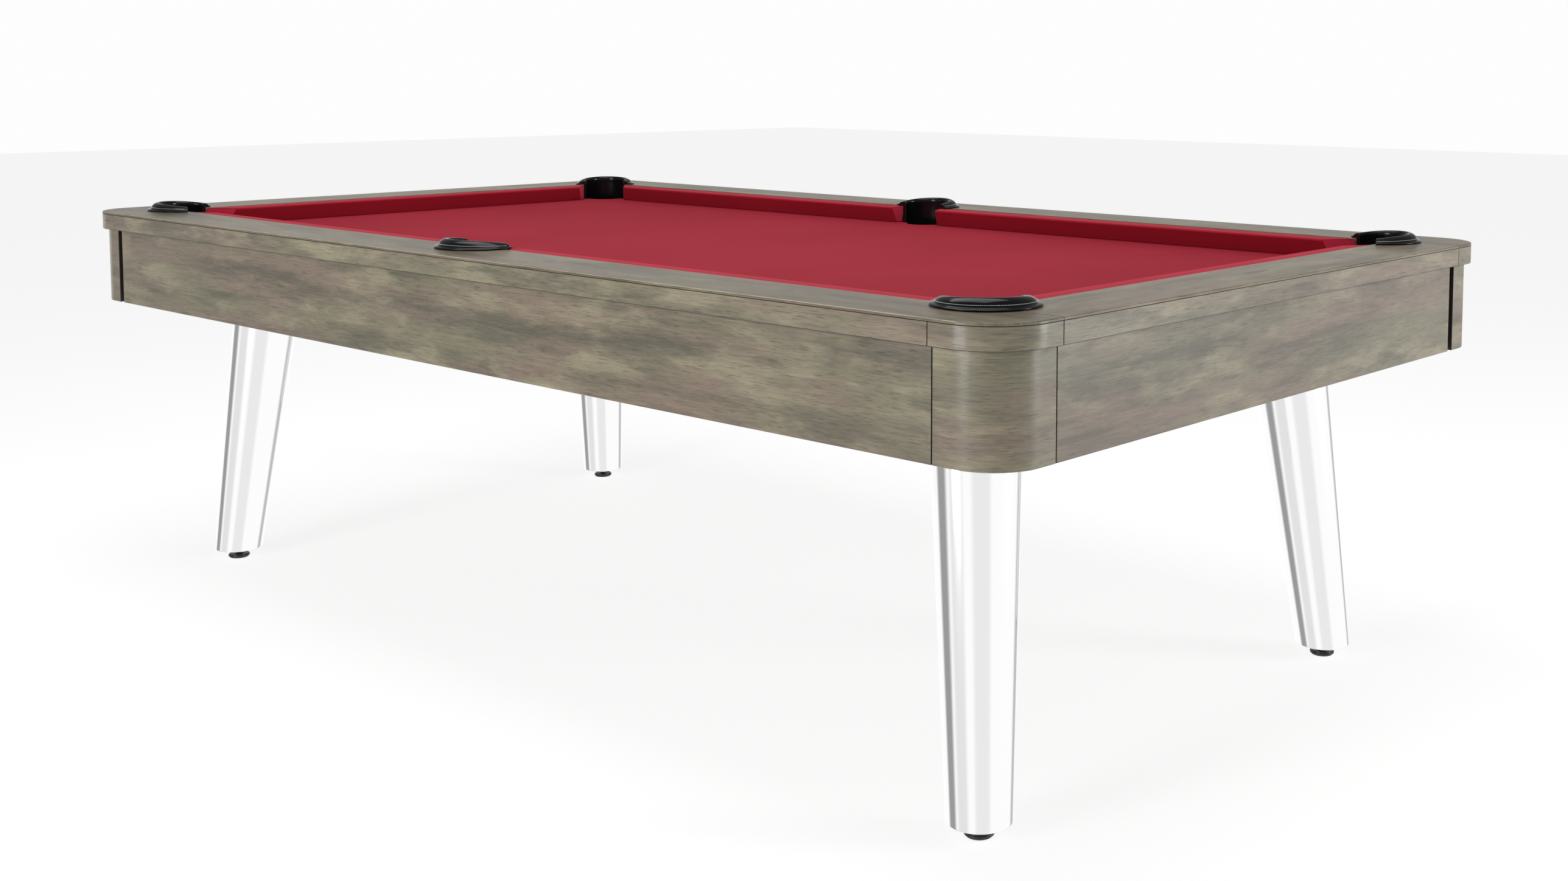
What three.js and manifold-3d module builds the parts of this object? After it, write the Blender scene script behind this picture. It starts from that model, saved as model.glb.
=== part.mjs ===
// An eight-foot pool table: a slate bed under cloth, four wooden rails with six cushions,
// six drop pockets, a cabinet of apron boards and rounded corner posts, four splayed tapered
// legs and their screw levellers. Millimetres, +Z up. The origin is on the floor under the
// middle of the table, +X runs along its length and -Y is its front long side.

import * as THREE from 'three';
import { mergeVertices } from 'three/addons/utils/BufferGeometryUtils.js';
import Module from 'manifold-3d';

const wasm = await Module();
wasm.setup();

// Playing field and heights
const FIELD_LENGTH = 2235.2;      // cushion nose to cushion nose, the long way
const FIELD_WIDTH = 1117.6;       // cushion nose to cushion nose, the short way
const RAIL_TOP = 787;             // rail tops above the floor
const BED_DROP = 38;              // playing surface below the rail tops
const FIT_GAP = 0.3;              // clearance between pieces that touch

// Rails, fascia and cushions
const RAIL_WIDTH = 173;           // cushion nose to the rail's outer edge
const CUSHION_WIDTH = 45;         // cushion nose to the line where cloth meets wood
const CAP_THICKNESS = 22;
const LIP_THICKNESS = 4;          // the cap's lip over the fascia
const BLOCK_WIDTH = 60;           // the part of a rail that stands on the slate
const FASCIA_HEIGHT = 37;
const FASCIA_THICKNESS = 18;
const RAIL_CORNER_RADIUS = 92;
const RAIL_SEAM = 126;            // outer corner to the joints of cap and fascia
const FASCIA_REVEAL = 1.4;        // open width of those joints
const CAP_REVEAL = 0.8;
const NOSE_DROP = 2.5;            // point of the cushion nose below the rail tops
const CUSHION_UNDERCUT = 14;      // how far the foot of a cushion stands back from its nose
const NOSE_LAND = 1.5;            // upright part of the nose
const NOSE_BEVEL = 4;             // width of the slope from the nose to the cushion's top
const TOP_DROP = 0.8;             // cushion's top below the rail tops at that slope

// Pockets
const CORNER_RING_OUT = 24;       // ring centre beyond the field corner, along X and along Y
const SIDE_RING_OUT = 46;         // ring centre beyond the nose line at the side pockets
const CORNER_MOUTH = 82;          // field corner to the end of a cushion nose
const SIDE_MOUTH = 66;            // half the distance between the noses at a side pocket
const CORNER_FACING = 48;         // degrees that a corner facing turns back from square
const SIDE_FACING = 18;           // the same at a side pocket
const RING_BORE = 52;             // radius of the throat
const RING_WALL = 8;
const RING_FLANGE = 79;           // outer radius of the flange that lies on the rail
const FLANGE_THICKNESS = 3.5;
const CREST_MIDDLE = 18.5;        // crest above the rail top, at the back of the pocket
const CREST_END = 10.5;           // crest above the rail top, where an arm ends
const CORNER_ARM = 112;           // degrees from the back of the ring to the end of an arm
const SIDE_ARM = 102;
const SLATE_THROAT = 46;          // radius of the hole in slate and cloth on the player's side
const BASKET_DEPTH = 112;
const BASKET_RADIUS = 66;
const BASKET_WALL = 4;
const BASKET_RIM = 72;

// Bed
const CLOTH_THICKNESS = 1.5;
const CLOTH_TUCK = 3;             // how far the cloth stops short of the rail blocks
const SLATE_THICKNESS = 25;
const SLATE_MARGIN = 63.5;        // slate beyond the nose line
const SLATE_PIECES = 3;

// Cabinet
const APRON_SETBACK = 12;         // apron behind the fascia's face
const APRON_HEIGHT = 157.7;
const APRON_THICKNESS = 20;
const APRON_SEAM = 116;           // apron's sharp corner to the middle of its joint with a post
const TIGHT_REVEAL = 1.6;         // open width of the joints beside the front right post
const OPEN_REVEAL = 16;           // open width of the joints beside the other posts
const TONGUE_THICKNESS = 10;      // the post's tongue behind the apron ends
const TONGUE_REACH = 40;
const LONG_BEAM_INSET = 88.8;     // middle of a long beam, in from the nose line
const LONG_BEAM_WIDTH = 60;
const CROSS_BEAM_WIDTH = 96;
const BEAM_HEIGHT = 50;

// Legs and levellers
const LEG_INSET_X = 210.6;        // middle of a leg's lower end, in from the rails' outer edge
const LEG_INSET_Y = 216.8;
const LEG_BOTTOM = 22;            // height of a leg's lower end
const LEG_FOOT_RADIUS = 49.5;
const LEG_TOP_RADIUS = 70.5;
const LEG_SPLAY = 8;              // degrees from upright, outwards along the diagonal
const LEG_WALL = 4;               // a leg is a tube, open at the top
const LEG_PLUG = 50;              // solid length at its foot, bored for the stem
const PLATE_THICKNESS = 6;
const PLATE_RADIUS = 78;
const STEM_RADIUS = 6;
const STEM_LENGTH = 40;           // stem inside the leg
const STEM_CLEARANCE = 0.6;
const NUT_RADIUS = 10;
const NUT_HEIGHT = 7;
const PAD_RADIUS = 22.5;
const PAD_HEIGHT = 10;

// Fineness of the faceted curves
const ARC_STEPS = 5;
const RING_STEPS = 36;
const ROUND_STEPS = 20;
const SMALL_STEPS = 12;

// Places that follow from the sizes above
const noseX = FIELD_LENGTH / 2;
const noseY = FIELD_WIDTH / 2;
const outerX = noseX + RAIL_WIDTH;
const outerY = noseY + RAIL_WIDTH;
const woodX = noseX + CUSHION_WIDTH;
const woodY = noseY + CUSHION_WIDTH;
const seamY = outerY - RAIL_SEAM;
const bedZ = RAIL_TOP - BED_DROP;
const slateTop = bedZ - CLOTH_THICKNESS - FIT_GAP;
const slateBottom = slateTop - SLATE_THICKNESS;
const fasciaTop = RAIL_TOP - LIP_THICKNESS - FIT_GAP;
const fasciaBottom = RAIL_TOP - FASCIA_HEIGHT;
const apronTop = fasciaBottom - FIT_GAP;
const apronBottom = apronTop - APRON_HEIGHT;
const apronX = outerX - APRON_SETBACK;
const apronY = outerY - APRON_SETBACK;
const longBeamTop = slateBottom - FIT_GAP;
const longBeamBottom = longBeamTop - BEAM_HEIGHT;
const crossBeamTop = longBeamBottom - FIT_GAP;
const crossBeamBottom = crossBeamTop - BEAM_HEIGHT;
const plateTop = crossBeamBottom - FIT_GAP;
const legTop = plateTop - PLATE_THICKNESS - FIT_GAP;
const legLean = Math.tan(THREE.MathUtils.degToRad(LEG_SPLAY)) * Math.SQRT1_2;
const legFootX = outerX - LEG_INSET_X;
const legFootY = outerY - LEG_INSET_Y;
const legTopX = legFootX - legLean * (legTop - LEG_BOTTOM);
const legTopY = legFootY - legLean * (legTop - LEG_BOTTOM);
const ringHole = RING_BORE + RING_WALL + FIT_GAP;

// The six pockets: where each ring's middle is, and the way its closed back faces
const cornerX = noseX + CORNER_RING_OUT;
const cornerY = noseY + CORNER_RING_OUT;
const sideY = noseY + SIDE_RING_OUT;
const pockets = [
  { name: 'front_left', x: -cornerX, y: -cornerY, turn: -135, arm: CORNER_ARM },
  { name: 'front_side', x: 0, y: -sideY, turn: -90, arm: SIDE_ARM },
  { name: 'front_right', x: cornerX, y: -cornerY, turn: -45, arm: CORNER_ARM },
  { name: 'back_right', x: cornerX, y: cornerY, turn: 45, arm: CORNER_ARM },
  { name: 'back_side', x: 0, y: sideY, turn: 90, arm: SIDE_ARM },
  { name: 'back_left', x: -cornerX, y: cornerY, turn: 135, arm: CORNER_ARM },
];

// Finishes
const finish = (color, roughness, metalness) => (
  () => new THREE.MeshStandardMaterial({ color, roughness, metalness })
);
const stainedWood = finish(0x87806f, 0.45, 0);
const frameWood = finish(0xb99a6b, 0.7, 0);
const redCloth = finish(0xa23a48, 0.95, 0);
const blackLeather = finish(0x18191c, 0.35, 0);
const slateStone = finish(0x5a5f63, 0.6, 0);
const polishedSteel = finish(0xe6e8ea, 0.12, 1);
const darkMetal = finish(0x2a2b2d, 0.4, 0.6);

// A closed geometry as a solid that can be joined and cut, and back again
function solid(geometry) {
  const plain = geometry.index ? geometry.toNonIndexed() : geometry.clone();
  plain.deleteAttribute('normal');
  plain.deleteAttribute('uv');
  const merged = mergeVertices(plain, 1e-4);
  return new wasm.Manifold(new wasm.Mesh({
    numProp: 3,
    vertProperties: new Float32Array(merged.attributes.position.array),
    triVerts: new Uint32Array(merged.index.array),
  }));
}

function geometryOf(body) {
  const mesh = body.getMesh();
  const geometry = new THREE.BufferGeometry();
  geometry.setAttribute('position', new THREE.BufferAttribute(mesh.vertProperties, 3));
  geometry.setIndex(new THREE.BufferAttribute(mesh.triVerts, 1));
  geometry.computeVertexNormals();
  return geometry;
}

const union = (bodies) => bodies.reduce((whole, body) => whole.add(body));
const cutAll = (body, tools) => tools.reduce((left, tool) => left.subtract(tool), body);

// Plain blanks: an upright prism of a plan outline, a block between two corners, a round bar
function prism(shape, bottom, top) {
  const geometry = new THREE.ExtrudeGeometry(shape, {
    depth: top - bottom,
    bevelEnabled: false,
    curveSegments: ARC_STEPS,
  });
  return geometry.translate(0, 0, bottom);
}

function outline(points) {
  return new THREE.Shape(points.map(([x, y]) => new THREE.Vector2(x, y)));
}

function block([x0, y0, z0], [x1, y1, z1]) {
  const geometry = new THREE.BoxGeometry(x1 - x0, y1 - y0, z1 - z0);
  return geometry.translate((x0 + x1) / 2, (y0 + y1) / 2, (z0 + z1) / 2);
}

function bar(x, y, radius, bottom, top, steps = ROUND_STEPS) {
  const geometry = new THREE.CylinderGeometry(radius, radius, top - bottom, steps);
  return geometry.rotateX(Math.PI / 2).translate(x, y, (bottom + top) / 2);
}

// A turned piece: its outline in radius and height, from the axis round to the axis or closed
function turned(points, steps) {
  const profile = points.map(([radius, height]) => new THREE.Vector2(radius, height));
  return new THREE.LatheGeometry(profile, steps).rotateX(Math.PI / 2);
}

// Adds one piece to a group as a named mesh
const table = new THREE.Group();

function add(name, geometry, material, place = {}) {
  const mesh = new THREE.Mesh(geometry, material());
  mesh.name = name;
  mesh.position.set(place.x ?? 0, place.y ?? 0, place.z ?? 0);
  mesh.rotation.z = THREE.MathUtils.degToRad(place.turn ?? 0);
  table.add(mesh);
}

// The round holes that the pocket rings pass through, in rails and cushions
const ringHoles = (bottom, top) => pockets.map(
  ({ x, y }) => solid(bar(x, y, ringHole, bottom, top, RING_STEPS)),
);

// ---- Rails: a long one runs through both its corners, an end one butts between them ----

// Plan of the back long rail, its outer edge moved in by an inset
function longRailPlan(inset) {
  const x = outerX - inset;
  const y = outerY - inset;
  const radius = Math.max(RAIL_CORNER_RADIUS - inset, 1);
  const joint = seamY + CAP_REVEAL / 2;
  const shape = new THREE.Shape();
  shape.moveTo(x, joint);
  shape.absarc(x - radius, y - radius, radius, 0, Math.PI / 2, false);
  shape.absarc(-x + radius, y - radius, radius, Math.PI / 2, Math.PI, false);
  shape.lineTo(-x, joint);
  shape.lineTo(-woodX, joint);
  shape.lineTo(-woodX, woodY);
  shape.lineTo(woodX, woodY);
  shape.lineTo(woodX, joint);
  return shape;
}

function longRail() {
  const inset = FASCIA_THICKNESS + FIT_GAP;
  const blockEnd = woodX - FIT_GAP - CAP_REVEAL;
  const capBottom = RAIL_TOP - CAP_THICKNESS;
  const parts = [
    solid(prism(longRailPlan(0), RAIL_TOP - LIP_THICKNESS, RAIL_TOP)),
    solid(prism(longRailPlan(inset), capBottom, RAIL_TOP)),
    solid(block([-blockEnd, woodY, slateTop + FIT_GAP],
      [blockEnd, woodY + BLOCK_WIDTH, RAIL_TOP])),
  ];
  return cutAll(union(parts), ringHoles(slateBottom, RAIL_TOP + CREST_MIDDLE));
}

function endRail() {
  const reach = seamY - CAP_REVEAL / 2;
  const inset = FASCIA_THICKNESS + FIT_GAP;
  const capBottom = RAIL_TOP - CAP_THICKNESS;
  const parts = [
    solid(block([woodX, -reach, RAIL_TOP - LIP_THICKNESS], [outerX, reach, RAIL_TOP])),
    solid(block([woodX, -reach, capBottom], [outerX - inset, reach, RAIL_TOP])),
    solid(block([woodX, -reach, slateTop + FIT_GAP], [woodX + BLOCK_WIDTH, reach, RAIL_TOP])),
  ];
  return cutAll(union(parts), ringHoles(slateBottom, RAIL_TOP + CREST_MIDDLE));
}

for (const [side, turn] of [['back', 0], ['front', 180]]) {
  add(`rail_${side}`, geometryOf(longRail()), stainedWood, { turn });
}
for (const [side, turn] of [['right', 0], ['left', 180]]) {
  add(`rail_${side}`, geometryOf(endRail()), stainedWood, { turn });
}

// ---- Fascia: straight bands and rounded corner pieces under the rail's lip ----

// A rounded corner piece in plan. Its sharp outer corner is at 0, 0 and its arms run along
// -X and -Y. A tongue, when it has one, runs on behind the neighbouring boards.
function cornerPlan(arm, radius, thickness, tongue = null) {
  const shape = new THREE.Shape();
  const inner = Math.max(radius - thickness, 1);
  shape.moveTo(0, -arm);
  shape.absarc(-radius, -radius, radius, 0, Math.PI / 2, false);
  shape.lineTo(-arm, 0);
  const front = tongue ? tongue.depth : thickness;
  shape.lineTo(-arm, -front);
  if (tongue) {
    shape.lineTo(-arm - tongue.reach, -front);
    shape.lineTo(-arm - tongue.reach, -thickness);
  }
  shape.absarc(-thickness - inner, -thickness - inner, inner, Math.PI / 2, 0, true);
  if (tongue) {
    shape.lineTo(-thickness, -arm - tongue.reach);
    shape.lineTo(-front, -arm - tongue.reach);
  }
  shape.lineTo(-front, -arm);
  return shape;
}

const corners = [
  { name: 'front_left', sx: -1, sy: -1, turn: 180, reveal: OPEN_REVEAL },
  { name: 'front_right', sx: 1, sy: -1, turn: -90, reveal: TIGHT_REVEAL },
  { name: 'back_right', sx: 1, sy: 1, turn: 0, reveal: OPEN_REVEAL },
  { name: 'back_left', sx: -1, sy: 1, turn: 90, reveal: OPEN_REVEAL },
];

const fasciaCorner = cornerPlan(RAIL_SEAM - FASCIA_REVEAL / 2, RAIL_CORNER_RADIUS, FASCIA_THICKNESS);
for (const { name, sx, sy, turn } of corners) {
  add(`fascia_corner_${name}`, prism(fasciaCorner, fasciaBottom, fasciaTop), stainedWood,
    { x: sx * outerX, y: sy * outerY, turn });
}

// A straight band from one end to the other, standing behind the line x = face
function band(from, to, thickness, bottom, top) {
  return block([-thickness, from, bottom], [0, to, top]);
}

const fasciaRun = RAIL_SEAM + FASCIA_REVEAL / 2;
const sides = [
  { name: 'front', half: outerX, face: outerY, apronFace: apronY, turn: -90 },
  { name: 'right', half: outerY, face: outerX, apronFace: apronX, turn: 0 },
  { name: 'back', half: outerX, face: outerY, apronFace: apronY, turn: 90 },
  { name: 'left', half: outerY, face: outerX, apronFace: apronX, turn: 180 },
];
const placeOn = (turn, distance) => ({
  x: distance * Math.cos(THREE.MathUtils.degToRad(turn)),
  y: distance * Math.sin(THREE.MathUtils.degToRad(turn)),
  turn,
});
for (const { name, half, face, turn } of sides) {
  const reach = half - fasciaRun;
  add(`fascia_${name}`, band(-reach, reach, FASCIA_THICKNESS, fasciaBottom, fasciaTop),
    stainedWood, placeOn(turn, face));
}

// ---- Cabinet: apron boards and rounded posts with an open joint between them ----

for (const { name, sx, sy, turn, reveal } of corners) {
  const tongue = { depth: APRON_THICKNESS + FIT_GAP, reach: TONGUE_REACH };
  const plan = cornerPlan(APRON_SEAM - reveal / 2, RAIL_CORNER_RADIUS - APRON_SETBACK,
    APRON_THICKNESS + FIT_GAP + TONGUE_THICKNESS, tongue);
  add(`corner_post_${name}`, prism(plan, apronBottom, apronTop), stainedWood,
    { x: sx * apronX, y: sy * apronY, turn });
}

// Seen from outside, a side's own right-hand end is its positive end
const revealAt = Object.fromEntries(corners.map(({ name, reveal }) => [name, reveal]));
const apronEnds = {
  front: ['front_left', 'front_right'],
  right: ['front_right', 'back_right'],
  back: ['back_right', 'back_left'],
  left: ['back_left', 'front_left'],
};
for (const { name, half, apronFace, turn } of sides) {
  const reach = half - APRON_SETBACK - APRON_SEAM;
  const [lowEnd, highEnd] = apronEnds[name];
  const from = -reach + revealAt[lowEnd] / 2;
  const to = reach - revealAt[highEnd] / 2;
  add(`apron_${name}`, band(from, to, APRON_THICKNESS, apronBottom, apronTop),
    stainedWood, placeOn(turn, apronFace));
}

// ---- Bed: three slates and the cloth, with a throat at each pocket ----

// The way out of the playing field at a pocket: a round throat, and behind it the wider
// space that the ring's wall stands in
function pocketThroat({ x, y, turn, arm }, bottom, top) {
  const armStart = (RING_BORE + RING_WALL) * Math.cos(THREE.MathUtils.degToRad(arm)) - FIT_GAP;
  const behind = block([armStart, -2 * ringHole, bottom], [3 * ringHole, 2 * ringHole, top]);
  const seat = solid(bar(0, 0, ringHole, bottom, top, RING_STEPS)).intersect(solid(behind));
  const throat = solid(bar(0, 0, SLATE_THROAT, bottom, top, RING_STEPS));
  return throat.add(seat).rotate([0, 0, turn]).translate([x, y, 0]);
}

const slateX = noseX + SLATE_MARGIN;
const slateY = noseY + SLATE_MARGIN;
const slateNames = ['slate_left', 'slate_middle', 'slate_right'];
const slateLength = 2 * slateX / SLATE_PIECES;
slateNames.forEach((name, number) => {
  const start = -slateX + number * slateLength;
  const blank = block([start + FIT_GAP / 2, -slateY, slateBottom],
    [start + slateLength - FIT_GAP / 2, slateY, slateTop]);
  const throats = pockets.map((pocket) => pocketThroat(pocket, slateBottom - 1, slateTop + 1));
  add(name, geometryOf(cutAll(solid(blank), throats)), slateStone);
});

const clothX = woodX - CLOTH_TUCK;
const clothY = woodY - CLOTH_TUCK;
const clothBlank = block([-clothX, -clothY, slateTop + FIT_GAP], [clothX, clothY, bedZ]);
const clothThroats = pockets.map((pocket) => pocketThroat(pocket, slateTop, bedZ + 1));
add('bed_cloth', geometryOf(cutAll(solid(clothBlank), clothThroats)), redCloth);

// ---- Cushions: one section, cut to length by the facings at the pocket mouths ----

// Distance from the nose line across, height above the bed up
const cushionSection = outline([
  [0, BED_DROP - NOSE_DROP - NOSE_LAND],
  [CUSHION_UNDERCUT, FIT_GAP],
  [CUSHION_WIDTH - FIT_GAP, FIT_GAP],
  [CUSHION_WIDTH - FIT_GAP, BED_DROP - FIT_GAP],
  [NOSE_BEVEL, BED_DROP - TOP_DROP],
  [0, BED_DROP - NOSE_DROP],
].reverse());

// A cushion along +X whose nose line is y = 0 and whose back is at +Y. A facing turns away
// from square by an angle, so its back runs further than its nose.
function cushion(noseFrom, noseTo, turnFrom, turnTo) {
  const spare = CUSHION_WIDTH * 3;
  const length = noseTo - noseFrom + 2 * spare;
  const rod = new THREE.ExtrudeGeometry(cushionSection, { depth: length, bevelEnabled: false });
  rod.rotateX(Math.PI / 2).rotateZ(Math.PI / 2).translate(noseFrom - spare, 0, bedZ);
  const lean = (degrees) => CUSHION_WIDTH * Math.tan(THREE.MathUtils.degToRad(degrees));
  const plan = outline([
    [noseFrom, 0],
    [noseTo, 0],
    [noseTo + lean(turnTo), CUSHION_WIDTH],
    [noseFrom - lean(turnFrom), CUSHION_WIDTH],
  ]);
  return solid(rod).intersect(solid(prism(plan, bedZ, RAIL_TOP)));
}

const cushionHoles = ringHoles(bedZ - 1, RAIL_TOP + 1);
const longFrom = SIDE_MOUTH;
const longTo = noseX - CORNER_MOUTH;
const endReach = noseY - CORNER_MOUTH;
const longRight = cushion(longFrom, longTo, SIDE_FACING, CORNER_FACING).translate([0, noseY, 0]);
const longLeft = cushion(-longTo, -longFrom, CORNER_FACING, SIDE_FACING).translate([0, noseY, 0]);
const endBlank = cushion(-endReach, endReach, CORNER_FACING, CORNER_FACING);
const endRight = endBlank.rotate([0, 0, -90]).translate([noseX, 0, 0]);
const cushions = [
  ['cushion_back_right', longRight, 0],
  ['cushion_back_left', longLeft, 0],
  ['cushion_front_left', longRight, 180],
  ['cushion_front_right', longLeft, 180],
  ['cushion_right', endRight, 0],
  ['cushion_left', endRight, 180],
];
for (const [name, body, turn] of cushions) {
  add(name, geometryOf(cutAll(body, cushionHoles)), redCloth, { turn });
}

// ---- Pockets: a padded ring on an iron, and the basket that catches the balls ----

// The ring turned about its own middle. Its crest falls from the closed back to the arms.
function pocketRing(arm) {
  const wall = RING_BORE + RING_WALL;
  const crest = CREST_MIDDLE;
  const flange = FLANGE_THICKNESS;
  const section = [
    [RING_BORE, slateBottom],
    [wall, slateBottom],
    [wall, RAIL_TOP + FIT_GAP],
    [RING_FLANGE, RAIL_TOP + FIT_GAP],
    [RING_FLANGE, RAIL_TOP + flange],
    [RING_FLANGE - 6, RAIL_TOP + flange + 1],
    [RING_FLANGE - 12, RAIL_TOP + crest * 0.62],
    [RING_BORE + 9, RAIL_TOP + crest * 0.97],
    [RING_BORE + 4, RAIL_TOP + crest],
    [RING_BORE, RAIL_TOP + crest * 0.8],
    [RING_BORE, slateBottom],
  ];
  const whole = turned(section, RING_STEPS);
  const place = whole.attributes.position;
  for (let i = 0; i < place.count; i += 1) {
    const rise = place.getZ(i) - RAIL_TOP - flange;
    if (rise > 0) {
      const angle = THREE.MathUtils.radToDeg(Math.atan2(place.getY(i), place.getX(i)));
      const share = Math.min(Math.abs(angle) / arm, 1) ** 2;
      const drop = 1 - share * (CREST_MIDDLE - CREST_END) / (CREST_MIDDLE - flange);
      place.setZ(i, RAIL_TOP + flange + rise * drop);
    }
  }
  const reach = 2 * RING_FLANGE;
  const end = THREE.MathUtils.degToRad(arm);
  const sector = outline([
    [0, 0],
    [reach * Math.cos(end), -reach * Math.sin(end)],
    [reach, -reach * Math.sin(end)],
    [reach, reach * Math.sin(end)],
    [reach * Math.cos(end), reach * Math.sin(end)],
  ]);
  return solid(whole).intersect(solid(prism(sector, slateBottom - 1, RAIL_TOP + 2 * crest)));
}

const basketTop = slateBottom - FIT_GAP;
const basketFloor = basketTop - BASKET_DEPTH;
const basket = turned([
  [0, basketFloor],
  [BASKET_RADIUS * 0.6, basketFloor],
  [BASKET_RADIUS * 0.88, basketFloor + BASKET_DEPTH * 0.12],
  [BASKET_RADIUS, basketFloor + BASKET_DEPTH * 0.4],
  [BASKET_RADIUS, basketTop - BASKET_WALL],
  [BASKET_RIM, basketTop - BASKET_WALL],
  [BASKET_RIM, basketTop],
  [BASKET_RADIUS - BASKET_WALL, basketTop],
  [BASKET_RADIUS - BASKET_WALL, basketFloor + BASKET_DEPTH * 0.4],
  [BASKET_RADIUS * 0.88 - BASKET_WALL, basketFloor + BASKET_DEPTH * 0.14],
  [BASKET_RADIUS * 0.6 - BASKET_WALL, basketFloor + BASKET_WALL],
  [0, basketFloor + BASKET_WALL],
], ROUND_STEPS);

for (const { name, x, y, turn, arm } of pockets) {
  add(`pocket_ring_${name}`, geometryOf(pocketRing(arm)), blackLeather, { x, y, turn });
  add(`pocket_basket_${name}`, basket, blackLeather, { x, y });
}

// ---- Frame: two long beams on two cross beams, with a round plate over each leg ----

const beamReachX = apronX - APRON_THICKNESS - FIT_GAP;
const beamReachY = apronY - APRON_THICKNESS - FIT_GAP;
for (const [name, sign] of [['long_beam_front', -1], ['long_beam_back', 1]]) {
  const middle = sign * (noseY - LONG_BEAM_INSET);
  add(name, block([-beamReachX, middle - LONG_BEAM_WIDTH / 2, longBeamBottom],
    [beamReachX, middle + LONG_BEAM_WIDTH / 2, longBeamTop]), frameWood);
}
for (const [name, sign] of [['cross_beam_left', -1], ['cross_beam_right', 1]]) {
  const middle = sign * legTopX;
  add(name, block([middle - CROSS_BEAM_WIDTH / 2, -beamReachY, crossBeamBottom],
    [middle + CROSS_BEAM_WIDTH / 2, beamReachY, crossBeamTop]), frameWood);
}

// ---- Legs: cones that lean outwards, cut level at both ends, bored for the levellers ----

// A leaning cone on the foot's middle at the origin, drawn in by a wall from one height up
function legCone(wall, from, to) {
  const full = legTop - LEG_BOTTOM;
  const radiusAt = (height) => (
    THREE.MathUtils.lerp(LEG_FOOT_RADIUS, LEG_TOP_RADIUS, height / full) - wall
  );
  const cone = new THREE.CylinderGeometry(radiusAt(to), radiusAt(from), to - from, RING_STEPS);
  cone.rotateX(Math.PI / 2).translate(0, 0, (from + to) / 2);
  const lean = new THREE.Matrix4().set(
    1, 0, -legLean, 0,
    0, 1, -legLean, 0,
    0, 0, 1, 0,
    0, 0, 0, 1,
  );
  return cone.applyMatrix4(lean).translate(0, 0, LEG_BOTTOM);
}

// Built with its lower end's middle on the Z axis and leaning in towards -X and -Y
function leg() {
  const height = legTop - LEG_BOTTOM;
  const hollow = legCone(LEG_WALL, LEG_PLUG, height + 1);
  const bore = bar(0, 0, STEM_RADIUS + STEM_CLEARANCE, LEG_BOTTOM - 1,
    LEG_BOTTOM + STEM_LENGTH + STEM_CLEARANCE, SMALL_STEPS);
  return cutAll(solid(legCone(0, 0, height)), [solid(hollow), solid(bore)]);
}

// Pad, locknut and screwed stem in one piece, turned about the Z axis
const leveller = turned([
  [0, 0],
  [PAD_RADIUS - 3, 0],
  [PAD_RADIUS, 2.5],
  [PAD_RADIUS, 5.5],
  [PAD_RADIUS - 4, PAD_HEIGHT - 1],
  [NUT_RADIUS - 1, PAD_HEIGHT],
  [STEM_RADIUS, PAD_HEIGHT],
  [STEM_RADIUS, LEG_BOTTOM - FIT_GAP - NUT_HEIGHT],
  [NUT_RADIUS, LEG_BOTTOM - FIT_GAP - NUT_HEIGHT],
  [NUT_RADIUS, LEG_BOTTOM - FIT_GAP],
  [STEM_RADIUS, LEG_BOTTOM - FIT_GAP],
  [STEM_RADIUS, LEG_BOTTOM + STEM_LENGTH],
  [0, LEG_BOTTOM + STEM_LENGTH],
], SMALL_STEPS);

for (const { name, sx, sy, turn } of corners) {
  add(`leg_plate_${name}`, bar(0, 0, PLATE_RADIUS, plateTop - PLATE_THICKNESS, plateTop),
    darkMetal, { x: sx * legTopX, y: sy * legTopY });
  add(`leg_${name}`, geometryOf(leg()), polishedSteel,
    { x: sx * legFootX, y: sy * legFootY, turn });
  add(`leveller_${name}`, leveller, darkMetal, { x: sx * legFootX, y: sy * legFootY });
}

export default table;
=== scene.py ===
# %% [markdown]
# # A slate-bed pool table
# The measured model of the table is already packed as a fixed frame. Here every part that shows gets its
# finished shape and surface: stained boards with eased edges, cloth-covered cushions, moulded leather
# pockets, polished legs and screw levellers. Sizes come from the frame, so each piece lands in its place.

# %% Load the frame
import math
import bmesh
import bpy
from mathutils import Matrix, Vector


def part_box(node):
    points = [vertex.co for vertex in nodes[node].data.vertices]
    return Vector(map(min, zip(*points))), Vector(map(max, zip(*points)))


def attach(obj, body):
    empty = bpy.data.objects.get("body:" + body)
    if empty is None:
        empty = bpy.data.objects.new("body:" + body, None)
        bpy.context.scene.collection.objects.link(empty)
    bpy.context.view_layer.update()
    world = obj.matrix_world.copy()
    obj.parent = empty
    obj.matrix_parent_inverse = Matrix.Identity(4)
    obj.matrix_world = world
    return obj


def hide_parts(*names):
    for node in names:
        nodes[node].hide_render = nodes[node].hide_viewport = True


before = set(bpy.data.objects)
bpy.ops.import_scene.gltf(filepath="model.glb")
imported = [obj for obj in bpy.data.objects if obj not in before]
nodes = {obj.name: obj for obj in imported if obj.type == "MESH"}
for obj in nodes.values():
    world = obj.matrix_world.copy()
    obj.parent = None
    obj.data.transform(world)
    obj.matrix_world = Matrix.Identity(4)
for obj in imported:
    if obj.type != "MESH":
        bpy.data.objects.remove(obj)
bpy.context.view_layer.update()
MM = 0.001

# %% [markdown]
# ## Sizes read from the frame
# A cabinet maker works from a few lines: the outer edge, the line where cloth meets wood, the cushion nose
# and the bed. Each is the side of some node's box, so none is typed in again.

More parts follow.
